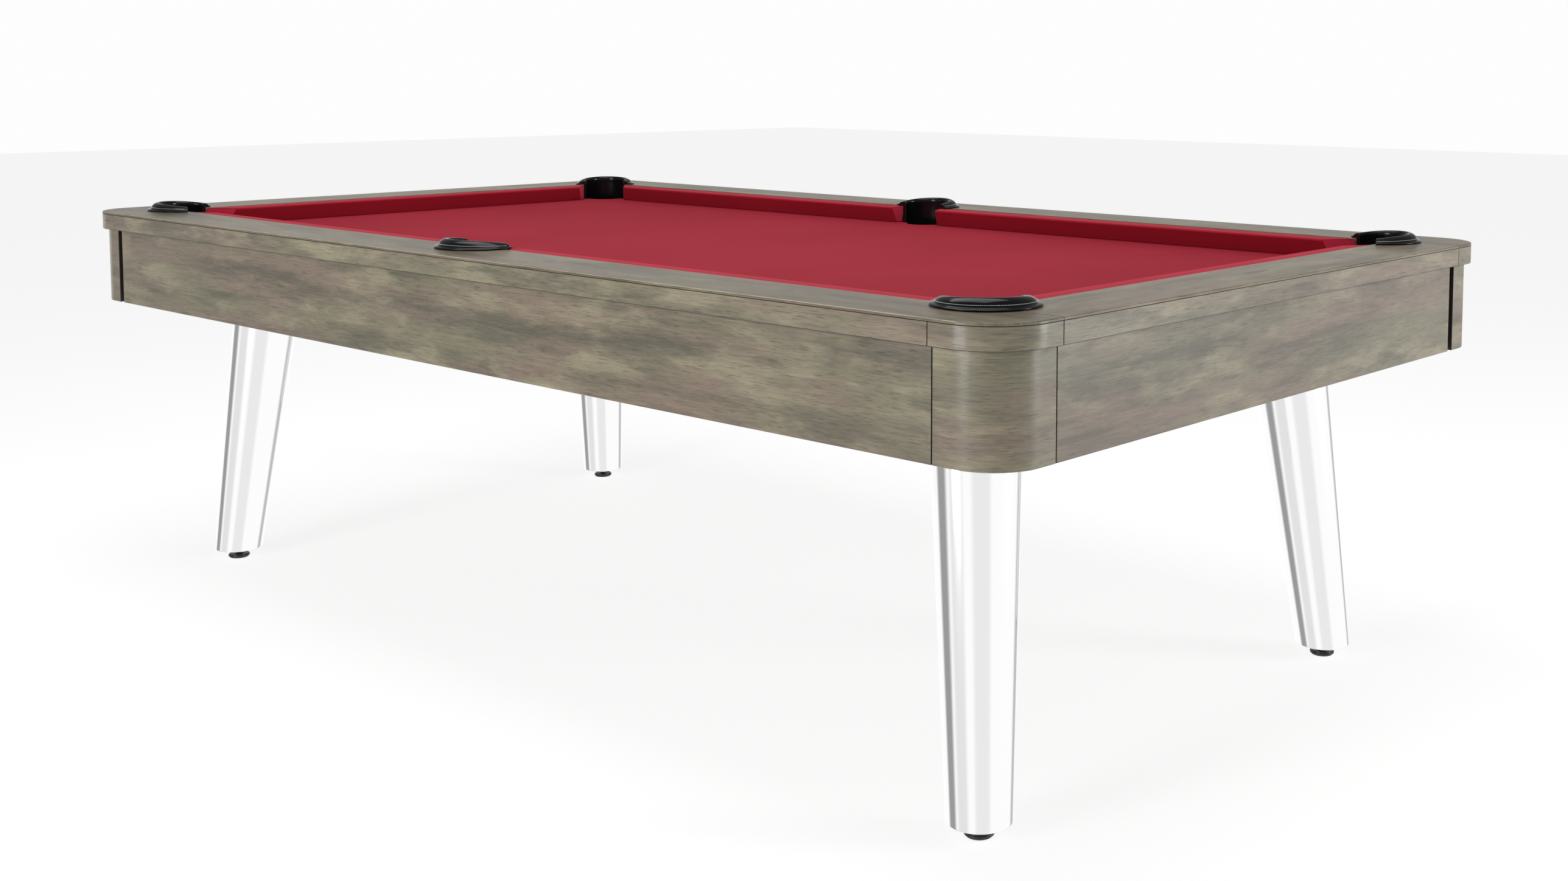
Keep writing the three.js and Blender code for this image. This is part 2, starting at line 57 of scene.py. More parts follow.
# %% Main lines of the table
OUTER_X, OUTER_Y, RAIL_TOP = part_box("rail_back")[1]
WOOD_X, JOINT_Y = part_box("rail_right")[0].x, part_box("rail_right")[1].y
NOSE_X, NOSE_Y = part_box("cushion_right")[0].x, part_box("cushion_back_right")[0].y
WOOD_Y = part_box("cushion_back_right")[1].y + 0.3 * MM
BED_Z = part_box("bed_cloth")[1].z
SLATE_BOTTOM, SLATE_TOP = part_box("slate_middle")[0].z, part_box("slate_middle")[1].z
CORNERS = {"front_left": (-1, -1), "front_right": (1, -1), "back_right": (1, 1), "back_left": (-1, 1)}
POCKETS = {}
for node in nodes:
    if node.startswith("pocket_basket_"):
        low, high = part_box(node)
        POCKETS[node.removeprefix("pocket_basket_")] = Vector(((low.x + high.x) / 2, (low.y + high.y) / 2, 0))
print("outside", round(2 * OUTER_X, 4), "x", round(2 * OUTER_Y, 4), "field", round(2 * NOSE_X, 4), "x",
      round(2 * NOSE_Y, 4), "bed at", round(BED_Z, 4), "pockets", sorted(POCKETS))

# %% [markdown]
# ## Camera
# The table is seen from beyond its front right corner, with the eye a little over a metre high. A long side
# runs away to the left and a short one to the right. The lens is shifted up and across, as on a view
# camera, which keeps the posts nearly upright.

# %% Set the camera up
EYE = Vector((2.602, -2.3875, 1.108))
YAW, PITCH, ROLL = 0.707, 0.080, 0.004
FOCAL_LENGTH = 39.51
SENSOR = 36.0
SHIFT = (-0.10, -0.15)

ahead = Vector((-math.sin(YAW) * math.cos(PITCH), math.cos(YAW) * math.cos(PITCH), -math.sin(PITCH)))
level = Vector((math.cos(YAW), math.sin(YAW), 0))
upright = level.cross(ahead)
across = math.cos(ROLL) * level + math.sin(ROLL) * upright
above = -math.sin(ROLL) * level + math.cos(ROLL) * upright

lens = bpy.data.cameras.new("camera")
lens.lens, lens.sensor_width = FOCAL_LENGTH, SENSOR
lens.shift_x, lens.shift_y = SHIFT
lens.clip_start, lens.clip_end = 0.05, 60
camera = bpy.data.objects.new("camera", lens)
camera.matrix_world = Matrix.Translation(EYE) @ Matrix((across, above, -ahead)).transposed().to_4x4()
bpy.context.scene.collection.objects.link(camera)
bpy.context.scene.camera = camera
print("camera at", [round(v, 3) for v in EYE], "lens", FOCAL_LENGTH, "mm")

# %% [markdown]
# ## Working with operators
# The pieces below are made as by hand in Blender: add a primitive, go into edit mode, pick faces or edges,
# and extrude, bevel or spin them. These helpers do the picking in code, by position or direction, and leave
# the object at the origin with its place in its mesh.

# %% Helpers for adding and picking
def clear_selection():
    """Leaves edit mode with nothing selected."""
    if bpy.context.object and bpy.context.object.mode != "OBJECT":
        bpy.ops.object.mode_set(mode="OBJECT")
    bpy.ops.object.select_all(action="DESELECT")


def take(piece):
    """Makes one piece the only selected one, and the active one."""
    clear_selection()
    piece.select_set(True)
    bpy.context.view_layer.objects.active = piece
    return piece


def settle(name):
    """Names the new primitive and moves its place into its mesh."""
    piece = bpy.context.object
    piece.name = piece.data.name = name
    bpy.ops.object.transform_apply(location=True, rotation=True, scale=True)
    return piece


def board(name, low, high):
    """A cube stretched between two corners."""
    clear_selection()
    low, high = Vector(low), Vector(high)
    bpy.ops.mesh.primitive_cube_add(size=1, location=(low + high) / 2, scale=high - low)
    return settle(name)


def rod(name, centre, radius, bottom, top, sides=48):
    """An upright cylinder between two heights."""
    clear_selection()
    place = (centre[0], centre[1], (bottom + top) / 2)
    bpy.ops.mesh.primitive_cylinder_add(vertices=sides, radius=radius, depth=top - bottom, location=place)
    return settle(name)


def pick(piece, kind, test):
    """Goes into edit mode with only the faces, edges or vertices that pass the test selected."""
    take(piece)
    bpy.ops.object.mode_set(mode="EDIT")
    bpy.ops.mesh.select_mode(type=kind)
    bpy.ops.mesh.select_all(action="DESELECT")
    mesh = bmesh.from_edit_mesh(piece.data)
    for element in {"VERT": mesh.verts, "EDGE": mesh.edges, "FACE": mesh.faces}[kind]:
        element.select = test(element)
    mesh.select_flush_mode()
    bmesh.update_edit_mesh(piece.data)


def leave():
    bpy.ops.object.mode_set(mode="OBJECT")


def middle_of(edge):
    return (edge.verts[0].co + edge.verts[1].co) / 2


def is_upright(edge):
    return abs((edge.verts[0].co - edge.verts[1].co).normalized().z) > 0.99


print("picking helpers ready")

# %% [markdown]
# ## Shaping and copying
# Bevels, booleans and thickness could be left as live modifiers, but a finished mesh is simpler to hand on,
# so each one is applied as soon as it is added. A mirrored copy would be inside out, so it is turned again.

# %% Helpers for shaping and copying
def modify(piece, kind, **settings):
    """Adds a modifier with these settings and applies it."""
    take(piece)
    modifier = piece.modifiers.new(kind.lower(), kind)
    for key, value in settings.items():
        setattr(modifier, key, value)
    bpy.ops.object.modifier_apply(modifier=modifier.name)


def cut_or_join(piece, tool, operation):
    """Cuts a tool out of a piece, or joins it on, and throws the tool away."""
    modify(piece, "BOOLEAN", object=tool, operation=operation, solver="EXACT")
    bpy.data.objects.remove(tool)


def ease(piece, width, segments=3, angle=35):
    """Rounds every edge sharper than an angle, and keeps the flat faces looking flat."""
    modify(piece, "BEVEL", width=width, segments=segments, limit_method="ANGLE",
           angle_limit=math.radians(angle), use_clamp_overlap=True)
    piece.data.shade_smooth()
    modify(piece, "WEIGHTED_NORMAL", keep_sharp=True, weight=100)


def copy_of(piece, name, matrix=None):
    """A copy with its own mesh, moved in its mesh and turned the right way out again if mirrored."""
    copied = bpy.data.objects.new(name, piece.data.copy())
    copied.data.name = name
    bpy.context.scene.collection.objects.link(copied)
    if matrix is not None:
        copied.data.transform(matrix)
        if matrix.determinant() < 0:
            copied.data.flip_normals()
    return copied


def joined(name, pieces):
    """Several objects as one."""
    clear_selection()
    for piece in pieces:
        piece.select_set(True)
    bpy.context.view_layer.objects.active = pieces[0]
    bpy.ops.object.join()
    pieces[0].name = pieces[0].data.name = name
    return pieces[0]


def turned(degrees):
    return Matrix.Rotation(math.radians(degrees), 4, "Z")


def mirrored_to(piece, sx, sy):
    """Moves a back right piece to another corner, right way out."""
    piece.data.transform(Matrix.Diagonal((sx, sy, 1, 1)))
    if sx * sy < 0:
        piece.data.flip_normals()


print("shaping helpers ready")

# %% [markdown]
# ## Handing a piece over
# A finished piece needs a finish, a body of the table to ride on, and the names of the measured parts that it
# stands for. A second finish on a few faces, such as dark stain in a joint, saves a separate sliver of mesh.

# %% Give a piece its finish and its body
def place(piece, material, slot, body="table", stands_for=(), insets=()):
    """An inset is another finish, and the test that picks the faces that wear it."""
    piece.data.materials.clear()
    piece.data.materials.append(material)
    for number, (finish, test) in enumerate(insets, 1):
        piece.data.materials.append(finish)
        for face in piece.data.polygons:
            if test(face):
                face.material_index = number
    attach(piece, body)
    if stands_for:
        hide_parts(*stands_for)


print("placing helper ready")

# %% [markdown]
# ## Writing finishes as sums
# A procedural finish is arithmetic on patterns. Wrapping a node's output in a small class lets the sums be
# written as Python expressions, and one method adds every other kind of node.

# %% Shader helpers
def colour(red, green, blue):
    """A display colour from 0 to 255 as the linear one that shaders use."""
    def linear(value):
        value /= 255
        return value / 12.92 if value <= 0.04045 else ((value + 0.055) / 1.055) ** 2.4
    return (linear(red), linear(green), linear(blue), 1)


class Socket:
    """A node's output that takes part in sums like a number."""

    def __init__(self, finish, out):
        self.finish, self.out = finish, out

    def reckon(self, operation, first, second):
        return self.finish.node("ShaderNodeMath", {"operation": operation}, {0: first, 1: second})

    def __add__(self, other):
        return self.reckon("ADD", self, other)

    def __radd__(self, other):
        return self.reckon("ADD", other, self)

    def __sub__(self, other):
        return self.reckon("SUBTRACT", self, other)

    def __rsub__(self, other):
        return self.reckon("SUBTRACT", other, self)

    def __mul__(self, other):
        return self.reckon("MULTIPLY", self, other)

    def __rmul__(self, other):
        return self.reckon("MULTIPLY", other, self)


print("sums ready")

# %% [markdown]
# ## One class for every finish
# A finish is one Principled shader. Its fixed values are typed straight into the shader, and its patterns
# are built by a few short methods: noise, a smooth step, a blend of two colours, a shade and a bump.

# %% Finish and backdrop
class Finish:
    """A material with one Principled shader, and the means to add nodes to it."""

    def __init__(self, name, **constants):
        self.material = bpy.data.materials.new(name)
        self.material.use_nodes = True
        self.tree = self.material.node_tree
        self.skin = self.tree.nodes["Principled BSDF"]
        for key, value in constants.items():
            self.skin.inputs[key.replace("_", " ").title().replace("Ior", "IOR")].default_value = value

    def node(self, kind, settings=None, values=None, output=0):
        made = self.tree.nodes.new(kind)
        for key, value in (settings or {}).items():
            if key == "stops":
                ramp = made.color_ramp.elements
                while len(ramp) < len(value):
                    ramp.new(1)
                for element, (position, shade) in zip(ramp, value):
                    element.position, element.color = position, shade
            else:
                setattr(made, key, value)
        for key, value in (values or {}).items():
            if isinstance(value, Socket):
                self.tree.links.new(value.out, made.inputs[key])
            else:
                made.inputs[key].default_value = value
        return Socket(self, made.outputs[output])

    def attribute(self, name, output="Vector"):
        return self.node("ShaderNodeAttribute", {"attribute_name": name}, output=output)

    def place(self):
        return self.node("ShaderNodeTexCoord", output="Object")

    def noise(self, where, stretch, detail=2, rough=0.5):
        """Noise from 0 to 1, with so many features a metre along each direction."""
        scaled = self.node("ShaderNodeVectorMath", {"operation": "MULTIPLY"}, {0: where, 1: stretch})
        return self.node("ShaderNodeTexNoise", {}, {"Vector": scaled, "Scale": 1.0, "Detail": detail,
                                                    "Roughness": rough})

    def between(self, value, low, high, start=0.0, end=1.0):
        """A smooth step: start below low, end above high."""
        return self.node("ShaderNodeMapRange", {"interpolation_type": "SMOOTHSTEP"},
                         {0: value, 1: low, 2: high, 3: start, 4: end})

    def mix(self, share, first, second, blend="MIX"):
        return self.node("ShaderNodeMix", {"data_type": "RGBA", "blend_type": blend},
                         {0: share, 6: first, 7: second}, output=2)

    def shaded(self, tint, worth):
        """A colour made darker or lighter by a number."""
        grey = self.node("ShaderNodeCombineColor", {}, {0: worth, 1: worth, 2: worth})
        return self.mix(1.0, tint, grey, "MULTIPLY")

    def feed(self, **sockets):
        for key, value in sockets.items():
            self.tree.links.new(value.out, self.skin.inputs[key.replace("_", " ")])

    def bump(self, height, depth, strength=1.0):
        bumped = self.node("ShaderNodeBump", {}, {"Height": height, "Distance": depth, "Strength": strength})
        self.tree.links.new(bumped.out, self.skin.inputs["Normal"])


class Backdrop(Finish):
    """The nodes of a world, with the same sums."""

    def __init__(self, world):
        self.tree = world.node_tree


print("shader helpers ready")

# %% [markdown]
# ## Stained wood
# The boards are stained grey-brown under a satin lacquer. Long soft patches drift between an olive grey and
# a pinkish one, and short dark pores run with the grain. The grain follows each board, and goes round the
# rounded posts, so the pattern reads an attribute that holds the distance along the grain and across it.

# %% Finish of the stained boards
def stained_wood(name, olive, pink, shadow, light, gloss=0.18):
    finish = Finish(name, coat_weight=gloss, coat_roughness=0.15, specular_ior_level=2 * gloss)
    grain = finish.attribute("grain")
    tone = finish.attribute("tone", "Fac")
    drift = finish.between(finish.noise(grain, (2.4, 14, 14), 3, 0.55), 0.38, 0.62)
    patch = finish.between(finish.noise(grain, (3.0, 24, 24), 5, 0.64), 0.42, 0.68)
    cloud = finish.between(finish.noise(grain, (6.0, 20, 20), 4, 0.6), 0.46, 0.70)
    fleck = finish.noise(grain, (16, 240, 240), 5, 0.75)
    scratch = finish.between(finish.noise(grain, (30, 460, 460), 3, 0.7), 0.60, 0.70)
    pores = finish.between(finish.noise(grain, (34, 700, 700), 2, 0.6), 0.56, 0.66)
    field = finish.mix(drift, olive, pink)
    field = finish.mix(patch * 0.85, field, shadow)
    field = finish.mix(cloud * 0.75, field, light)
    worth = (fleck - 0.5) * 1.0 + 1.0 + tone
    worth = (worth + scratch * 0.16) * (1 - pores * 0.36)
    finish.feed(Base_Color=finish.shaded(field, worth), Roughness=0.26 + fleck * 0.14)
    finish.bump(fleck * 0.5 - pores, 0.12 * MM, 0.6)
    return finish.material


# Rails and cabinet share one stain. rail_wood's colours are set a little darker as painted shade on the rail
# tops, and its gloss is lower.
rail_wood = stained_wood("rail_wood", colour(104, 97, 77), colour(110, 97, 82), colour(79, 73, 58),
                         colour(124, 117, 96), 0.1)
cabinet_wood = stained_wood("cabinet_wood", colour(110, 105, 87), colour(116, 102, 90), colour(81, 78, 67),
                            colour(135, 128, 106), 0.16)
# A lighter copy of the stain for the outer top edge of the long rails: a painted highlight where the eased
# edge catches the light.
worn_edge = stained_wood("worn_edge", colour(150, 144, 124), colour(156, 146, 130), colour(128, 120, 104),
                         colour(168, 162, 142))
# Dark stain for the hairline joints between the rails. The same finish is painted shade in the open joints at
# the posts, on the tongues, and along the fascia's top and foot.
dark_stain = Finish("dark_stain", roughness=0.6)
dark_stain.skin.inputs["Base Color"].default_value = colour(30, 24, 20)
print("wood finishes:", rail_wood.name, cabinet_wood.name, worn_edge.name, dark_stain.material.name)

# %% [markdown]
# ## Grain that follows the board
# On a real board the grain runs along its length, and veneer bent round a post carries it round the bend.
# Object coordinates give that only on a straight board, and an unwrap would need seams. So each point
# stores how far along and across the grain it lies, and round a corner the distance is measured on the arc.

# %% Lay the grain along a board
def lay_grain(piece, along, tone=0.0, corner=None, radius=0.0):
    """Stores the distance along the grain and across it. A corner's grain follows its arc."""
    data = piece.data
    data.attributes.new("grain", "FLOAT_VECTOR", "POINT")
    data.attributes.new("tone", "FLOAT", "POINT")
    grain, shade = data.attributes["grain"], data.attributes["tone"]
    seed = sum(ord(letter) for letter in piece.name) % 97
    for vertex in data.vertices:
        spot = vertex.co
        if corner:
            side, front = abs(spot.x) - corner[0], abs(spot.y) - corner[1]
            out = max(side, front)
            if side > 0 and front > 0:
                out = math.hypot(side, front)
                run = radius * math.atan2(front, side)
            else:
                run = front if front <= 0 else radius * math.pi / 2 - side
            here = (run, spot.z, out)
        else:
            here = (spot.x, spot.z, spot.y) if along == "X" else (spot.y, spot.z, spot.x)
        grain.data[vertex.index].vector = (here[0] + seed, here[1] + seed * 0.37, here[2])
        shade.data[vertex.index].value = tone


print("grain helper ready")

# %% [markdown]
# ## Rails
# A long rail is one plank that runs through both rounded corners, and an end rail butts between two of
# them. The outer edge overhangs the fascia as a thin lip, and a block below stands on the slate. A long
# plank starts as a cube whose two outer upright edges are bevelled to the corner's radius.

# %% Sizes and steps shared by the rails
CORNER_RADIUS = 92 * MM
CORNER_STEPS = 28
LIP = 4 * MM
CAP = 22 * MM
FASCIA_THICKNESS = 18 * MM
GAP = 0.3 * MM
BLOCK = 60 * MM
RING_HOLE = 60.3 * MM
EASED = 1.6 * MM
JOINT_EASED = 1.0 * MM
JOINT_GAP = 0.8 * MM
FOOT_SETBACK = 1.1 * MM


def rounded_plank(name, inset, bottom, top):
    """The back rail's plank with its two outer corners rounded."""
    end = OUTER_X - inset
    plank = board(name, (-end, WOOD_Y, bottom), (end, OUTER_Y - inset, top))
    pick(plank, "EDGE", lambda edge: is_upright(edge) and middle_of(edge).y > WOOD_Y + BLOCK)
    bpy.ops.mesh.bevel(offset=CORNER_RADIUS - inset, segments=CORNER_STEPS, profile=0.5, affect="EDGES")
    leave()
    return plank


def drill_pockets(piece, radius, bottom, top, sides=64):
    """Drills the round holes of those pockets that a piece reaches."""
    corners = [Vector(corner) for corner in piece.bound_box]
    low = Vector([min(corner[axis] for corner in corners) for axis in range(3)])
    high = Vector([max(corner[axis] for corner in corners) for axis in range(3)])
    for name, centre in POCKETS.items():
        inside = all(low[axis] - radius < centre[axis] < high[axis] + radius for axis in (0, 1))
        if inside:
            cut_or_join(piece, rod("drill", centre, radius, bottom, top, sides), "DIFFERENCE")


def relieve_ends(rail):
    """Cuts a rail's ends back to the joint with the end rails."""
    for side in (-1, 1):
        low = (side * WOOD_X, WOOD_Y - BLOCK, SLATE_TOP - BLOCK)
        high = (side * (OUTER_X + BLOCK), JOINT_Y + JOINT_GAP, RAIL_TOP + BLOCK)
        ordered = [(min(a, b), max(a, b)) for a, b in zip(low, high)]
        knife = board("knife", [pair[0] for pair in ordered], [pair[1] for pair in ordered])
        cut_or_join(rail, knife, "DIFFERENCE")


def ease_top(rail, width, test):
    """Rounds the top edges that pass the test, before anything is drilled through them."""
    pick(rail, "EDGE", lambda edge: min(vertex.co.z for vertex in edge.verts) > RAIL_TOP - 0.1 * MM
         and test(middle_of(edge)))
    bpy.ops.mesh.bevel(offset=width, segments=3, profile=0.5, affect="EDGES", clamp_overlap=False)
    leave()


def on_outer_edge(middle):
    """The outer edge of a long rail: its straight side and both rounded corners."""
    outside = middle.y > OUTER_Y - CORNER_RADIUS / 2 or abs(middle.x) > OUTER_X - 40 * MM
    return outside and middle.y > JOINT_Y + 5 * MM


print("corner radius", CORNER_RADIUS, "pocket hole", RING_HOLE)

# %% [markdown]
# ## Two long rails
# The order of the steps matters. The top edges are rounded first, because a bevel can't be wider than the
# short edges that a drilled hole leaves. Then the cap and the foot are joined on underneath, and the three
# pockets are drilled. The front rail is the back one turned half round.

# %% Long rails
back_rail = rounded_plank("rail_back_finished", 0, RAIL_TOP - LIP, RAIL_TOP)
ease_top(back_rail, EASED, on_outer_edge)
relieve_ends(back_rail)
ease_top(back_rail, JOINT_EASED, lambda middle: abs(middle.y - JOINT_Y) < 1.5 * MM and abs(middle.x) > WOOD_X)
cap = rounded_plank("cap", FASCIA_THICKNESS + GAP, RAIL_TOP - CAP, RAIL_TOP - LIP / 2)
cut_or_join(back_rail, cap, "UNION")
foot = board("foot", (-WOOD_X + FOOT_SETBACK, WOOD_Y + GAP / 3, SLATE_TOP + GAP),
             (WOOD_X - FOOT_SETBACK, WOOD_Y + BLOCK, RAIL_TOP - LIP))
cut_or_join(back_rail, foot, "UNION")
relieve_ends(back_rail)
drill_pockets(back_rail, RING_HOLE, SLATE_BOTTOM, RAIL_TOP + CAP)
ease(back_rail, JOINT_EASED)
front_rail = copy_of(back_rail, "rail_front_finished", turned(180))


def at_joint(face):
    """A face in the butt joint between a long rail and an end rail, or on its eased edge."""
    centre = face.center
    return abs(centre.x) > WOOD_X and abs(abs(centre.y) - JOINT_Y) < 2 * MM and abs(face.normal.z) < 0.98


def on_painted_highlight(face):
    """A face of the eased outer top edge along a long side, painted lighter as a painted highlight."""
    at_edge = face.center.z > RAIL_TOP - EASED and abs(face.center.y) > OUTER_Y - EASED
    return at_edge and 0.3 < abs(face.normal.z) < 0.98


for rail, node in ((back_rail, "rail_back"), (front_rail, "rail_front")):
    lay_grain(rail, "X")
    place(rail, rail_wood, "rail_wood", stands_for=[node],
          insets=[(dark_stain.material, at_joint), (worn_edge, on_painted_highlight)])
print("long rails:", len(back_rail.data.polygons), "faces each")

# %% [markdown]
# ## End rails
# An end rail is a straight plank between the two long ones, with a hairline joint at each end. It could be
# cut from the long rail's model, but a plank of its own keeps the two edges of the joint eased separately.
# The grain runs across the table here, and this plank is painted a little lighter: a painted reflection of
# the bright surroundings on its top.

# %% Two end rails
right_rail = board("rail_right_finished", (WOOD_X, -JOINT_Y, RAIL_TOP - LIP), (OUTER_X, JOINT_Y, RAIL_TOP))
ease_top(right_rail, EASED, lambda middle: middle.x > OUTER_X - MM)
ease_top(right_rail, JOINT_EASED, lambda middle: abs(middle.y) > JOINT_Y - 0.1 * MM)
cap = board("cap", (WOOD_X + GAP / 3, -JOINT_Y + GAP / 3, RAIL_TOP - CAP),
            (OUTER_X - FASCIA_THICKNESS - GAP, JOINT_Y - GAP / 3, RAIL_TOP - LIP / 2))
cut_or_join(right_rail, cap, "UNION")
foot = board("foot", (WOOD_X + GAP / 2, -JOINT_Y + GAP / 2, SLATE_TOP + GAP),
             (WOOD_X + BLOCK, JOINT_Y - GAP / 2, RAIL_TOP - CAP / 2))
cut_or_join(right_rail, foot, "UNION")
drill_pockets(right_rail, RING_HOLE, SLATE_BOTTOM, RAIL_TOP + CAP)
ease(right_rail, JOINT_EASED)
left_rail = copy_of(right_rail, "rail_left_finished", turned(180))
for rail, node in ((right_rail, "rail_right"), (left_rail, "rail_left")):
    # The end rails' tone of 0.2 is painted light: a painted reflection on their tops.
    lay_grain(rail, "Y", tone=0.2)
    place(rail, rail_wood, "rail_wood", stands_for=[node], insets=[(dark_stain.material, at_joint)])
print("end rails:", len(right_rail.data.polygons), "faces each")

# %% [markdown]
# ## Fascia and cabinet
# Below the rails a narrow fascia goes all round, and below that the apron boards stand a little further in.
# Each corner is a bent piece: a short board whose end face is spun a quarter turn about the corner's centre
# and then drawn out again. Straight boards are cubes with eased edges.

# %% Bend a corner piece
BEND_STEPS = 24


def bent_piece(name, outer, arm, radius, thickness, bottom, top):
    """The back right corner: a board along X, spun round the corner and drawn out along Y."""
    centre = Vector((outer[0] - radius, outer[1] - radius, 0))
    bent = board(name, (outer[0] - arm, outer[1] - thickness, bottom), (centre.x, outer[1], top))
    pick(bent, "FACE", lambda face: face.normal.x > 0.99)
    bpy.ops.mesh.spin(steps=BEND_STEPS, angle=math.pi / 2, center=centre, axis=(0, 0, 1))
    bpy.ops.mesh.extrude_region_move(TRANSFORM_OT_translate={"value": (0, -(arm - radius), 0)})
    bpy.ops.mesh.select_all(action="SELECT")
    bpy.ops.mesh.remove_doubles(threshold=0.01 * MM)
    bpy.ops.mesh.normals_make_consistent(inside=False)
    leave()
    return bent


def drop_inner_faces(piece):
    """Deletes a face left inside where a region was drawn out."""
    pick(piece, "FACE", lambda face: all(len(edge.link_faces) > 2 for edge in face.edges))
    bpy.ops.mesh.delete(type="FACE")
    leave()


print("a corner is bent in", BEND_STEPS, "steps")

# %% [markdown]
# ## Fascia corners
# Each fascia corner is one bent piece under the rounded end of a long rail. Its top and bottom edges lie in
# shadow, so the faces there are painted dark as painted shade, and the joint with the next board reads as a
# fine dark line.

# %% Four fascia corners
fascia_low, fascia_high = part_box("fascia_back")
TOP_SHADOW, FOOT_SHADOW = 0.7 * MM, 0.9 * MM
CORNER_EASED = 0.8 * MM


def shadow_line(face):
    """A face on the fascia's top edge, under the rail's lip, or on its foot, above the apron: painted shade.
    """
    return face.center.z > fascia_high.z - TOP_SHADOW or face.center.z < fascia_low.z + FOOT_SHADOW


fascia_arm = OUTER_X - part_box("fascia_corner_back_right")[0].x
for name, (sx, sy) in CORNERS.items():
    bent = bent_piece(f"fascia_corner_{name}_finished", (OUTER_X, OUTER_Y), fascia_arm, CORNER_RADIUS,
                      FASCIA_THICKNESS, fascia_low.z, fascia_high.z)
    drop_inner_faces(bent)
    mirrored_to(bent, sx, sy)
    ease(bent, CORNER_EASED, 2)
    lay_grain(bent, "X", 0.0, (OUTER_X - CORNER_RADIUS, OUTER_Y - CORNER_RADIUS), CORNER_RADIUS)
    place(bent, cabinet_wood, "rail_wood", stands_for=[f"fascia_corner_{name}"],
          insets=[(dark_stain.material, shadow_line)])
print("fascia corners:", len(bent.data.polygons), "faces each")

# %% [markdown]
# ## Corner posts
# A post is bent like the fascia corner above it, from thicker stock, and carries two tongues that reach
# behind the aprons, dark all over as painted shade. Most of the joints between post and apron are left open,
# so the post's end face shows there, painted dark as the shade in the joint, with the tongue behind it. Post
# and tongues are separate pieces, as in the workshop.

# %% Four posts and their tongues
POST_THICKNESS = 30 * MM
TONGUE = 10 * MM
TONGUE_SETBACK = 20.3 * MM
TONGUE_REACH = 40 * MM
TONGUE_BITE = 5 * MM
apron_x, apron_y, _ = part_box("corner_post_back_right")[1]
post_radius = CORNER_RADIUS - (OUTER_X - apron_x)


def end_of_arm(face, arm):
    """The upright end face of a post's arm, which looks into the open joint and is painted dark as painted
    shade.
    """
    beyond = (abs(abs(face.center.x) - apron_x + arm), abs(abs(face.center.y) - apron_y + arm))
    return max(abs(face.normal.x), abs(face.normal.y)) > 0.9 and min(beyond) < MM


for name, (sx, sy) in CORNERS.items():
    low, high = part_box(f"corner_post_{name}")
    reach = min(abs(low.x), abs(high.x))
    arm = apron_x - reach - TONGUE_REACH
    post = bent_piece(f"corner_post_{name}_finished", (apron_x, apron_y), arm, post_radius, POST_THICKNESS,
                      low.z, high.z)
    drop_inner_faces(post)
    mirrored_to(post, sx, sy)
    ease(post, CORNER_EASED, 2)
    far, near = arm + TONGUE_REACH, arm - TONGUE_BITE
    deep, shallow = TONGUE_SETBACK + TONGUE, TONGUE_SETBACK
    tongues = []
    for x_span, y_span in (((far, near), (deep, shallow)), ((deep, shallow), (far, near))):
        start = (apron_x - x_span[0], apron_y - y_span[0], low.z + MM)
        end = (apron_x - x_span[1], apron_y - y_span[1], high.z - MM)
        tongue = board("tongue", start, end)
        mirrored_to(tongue, sx, sy)
        ease(tongue, 0.5 * MM, 1)
        tongues.append(tongue)
    tongue = joined(f"post_tongues_{name}", tongues)
    lay_grain(post, "X", 0.0, (apron_x - post_radius, apron_y - post_radius), post_radius)
    place(post, cabinet_wood, "cabinet_wood", stands_for=[f"corner_post_{name}"],
          insets=[(dark_stain.material, lambda face: end_of_arm(face, arm))])
    # The tongues are dark all over: painted shade behind the open joints.
    place(tongue, dark_stain.material, "cabinet_wood")
print("corner posts:", len(post.data.polygons), "faces each")

# %% [markdown]
# ## Straight fascia and apron boards
# These are plain boards, so each is a cube between the corners of its own box with its edges eased. Copies of
# one board would need stretching, which would stretch the eased edges too. Ends that face an open joint, and
# the fascia's faces in the shadow lines, are painted dark as painted shade.

# %% Eight straight boards
# The fascia's tone of 0.1 makes it lighter than the aprons below, which share its stain: painted light.
BOARDS = (("fascia", 0.8 * MM, "rail_wood", 0.1), ("apron", 1.2 * MM, "cabinet_wood", 0.0))
for side in ("front", "right", "back", "left"):
    along = "X" if side in ("front", "back") else "Y"
    for kind, eased, slot, tone in BOARDS:
        node = f"{kind}_{side}"
        piece = board(node + "_finished", *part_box(node))
        ease(piece, eased)
        lay_grain(piece, along, tone)
        axis = 0 if along == "X" else 1
        # Painted shade: the fascia's top and foot, and the ends of each apron that face an open joint.
        dark = shadow_line if kind == "fascia" else lambda face: abs(face.normal[axis]) > 0.9
        place(piece, cabinet_wood, slot, stands_for=[node], insets=[(dark_stain.material, dark)])
print("straight boards:", len(BOARDS) * 4)

# %% [markdown]
# ## Cloth
# Billiard cloth is a worsted: a close plain weave with a faint nap, so it looks even, with a soft sheen and
# almost no texture at arm's length. The bed and the cushions wear the same cloth.

# %% Finish of the cloth
def worsted(name, main, lit, sheen):
    finish = Finish(name, roughness=0.85, specular_ior_level=0.14, sheen_weight=sheen, sheen_roughness=0.4)
    where = finish.place()
    nap = finish.noise(where, (3.0, 3.0, 3.0), 3)
    thread = finish.noise(where, (900, 900, 900), 2)
    finish.skin.inputs["Sheen Tint"].default_value = colour(214, 92, 104)
    tint = finish.mix(finish.between(nap, 0.3, 0.7), main, lit)
    finish.feed(Base_Color=finish.shaded(tint, 0.94 + thread * 0.12))
    finish.bump(thread, 0.15 * MM, 0.5)
    return finish.material


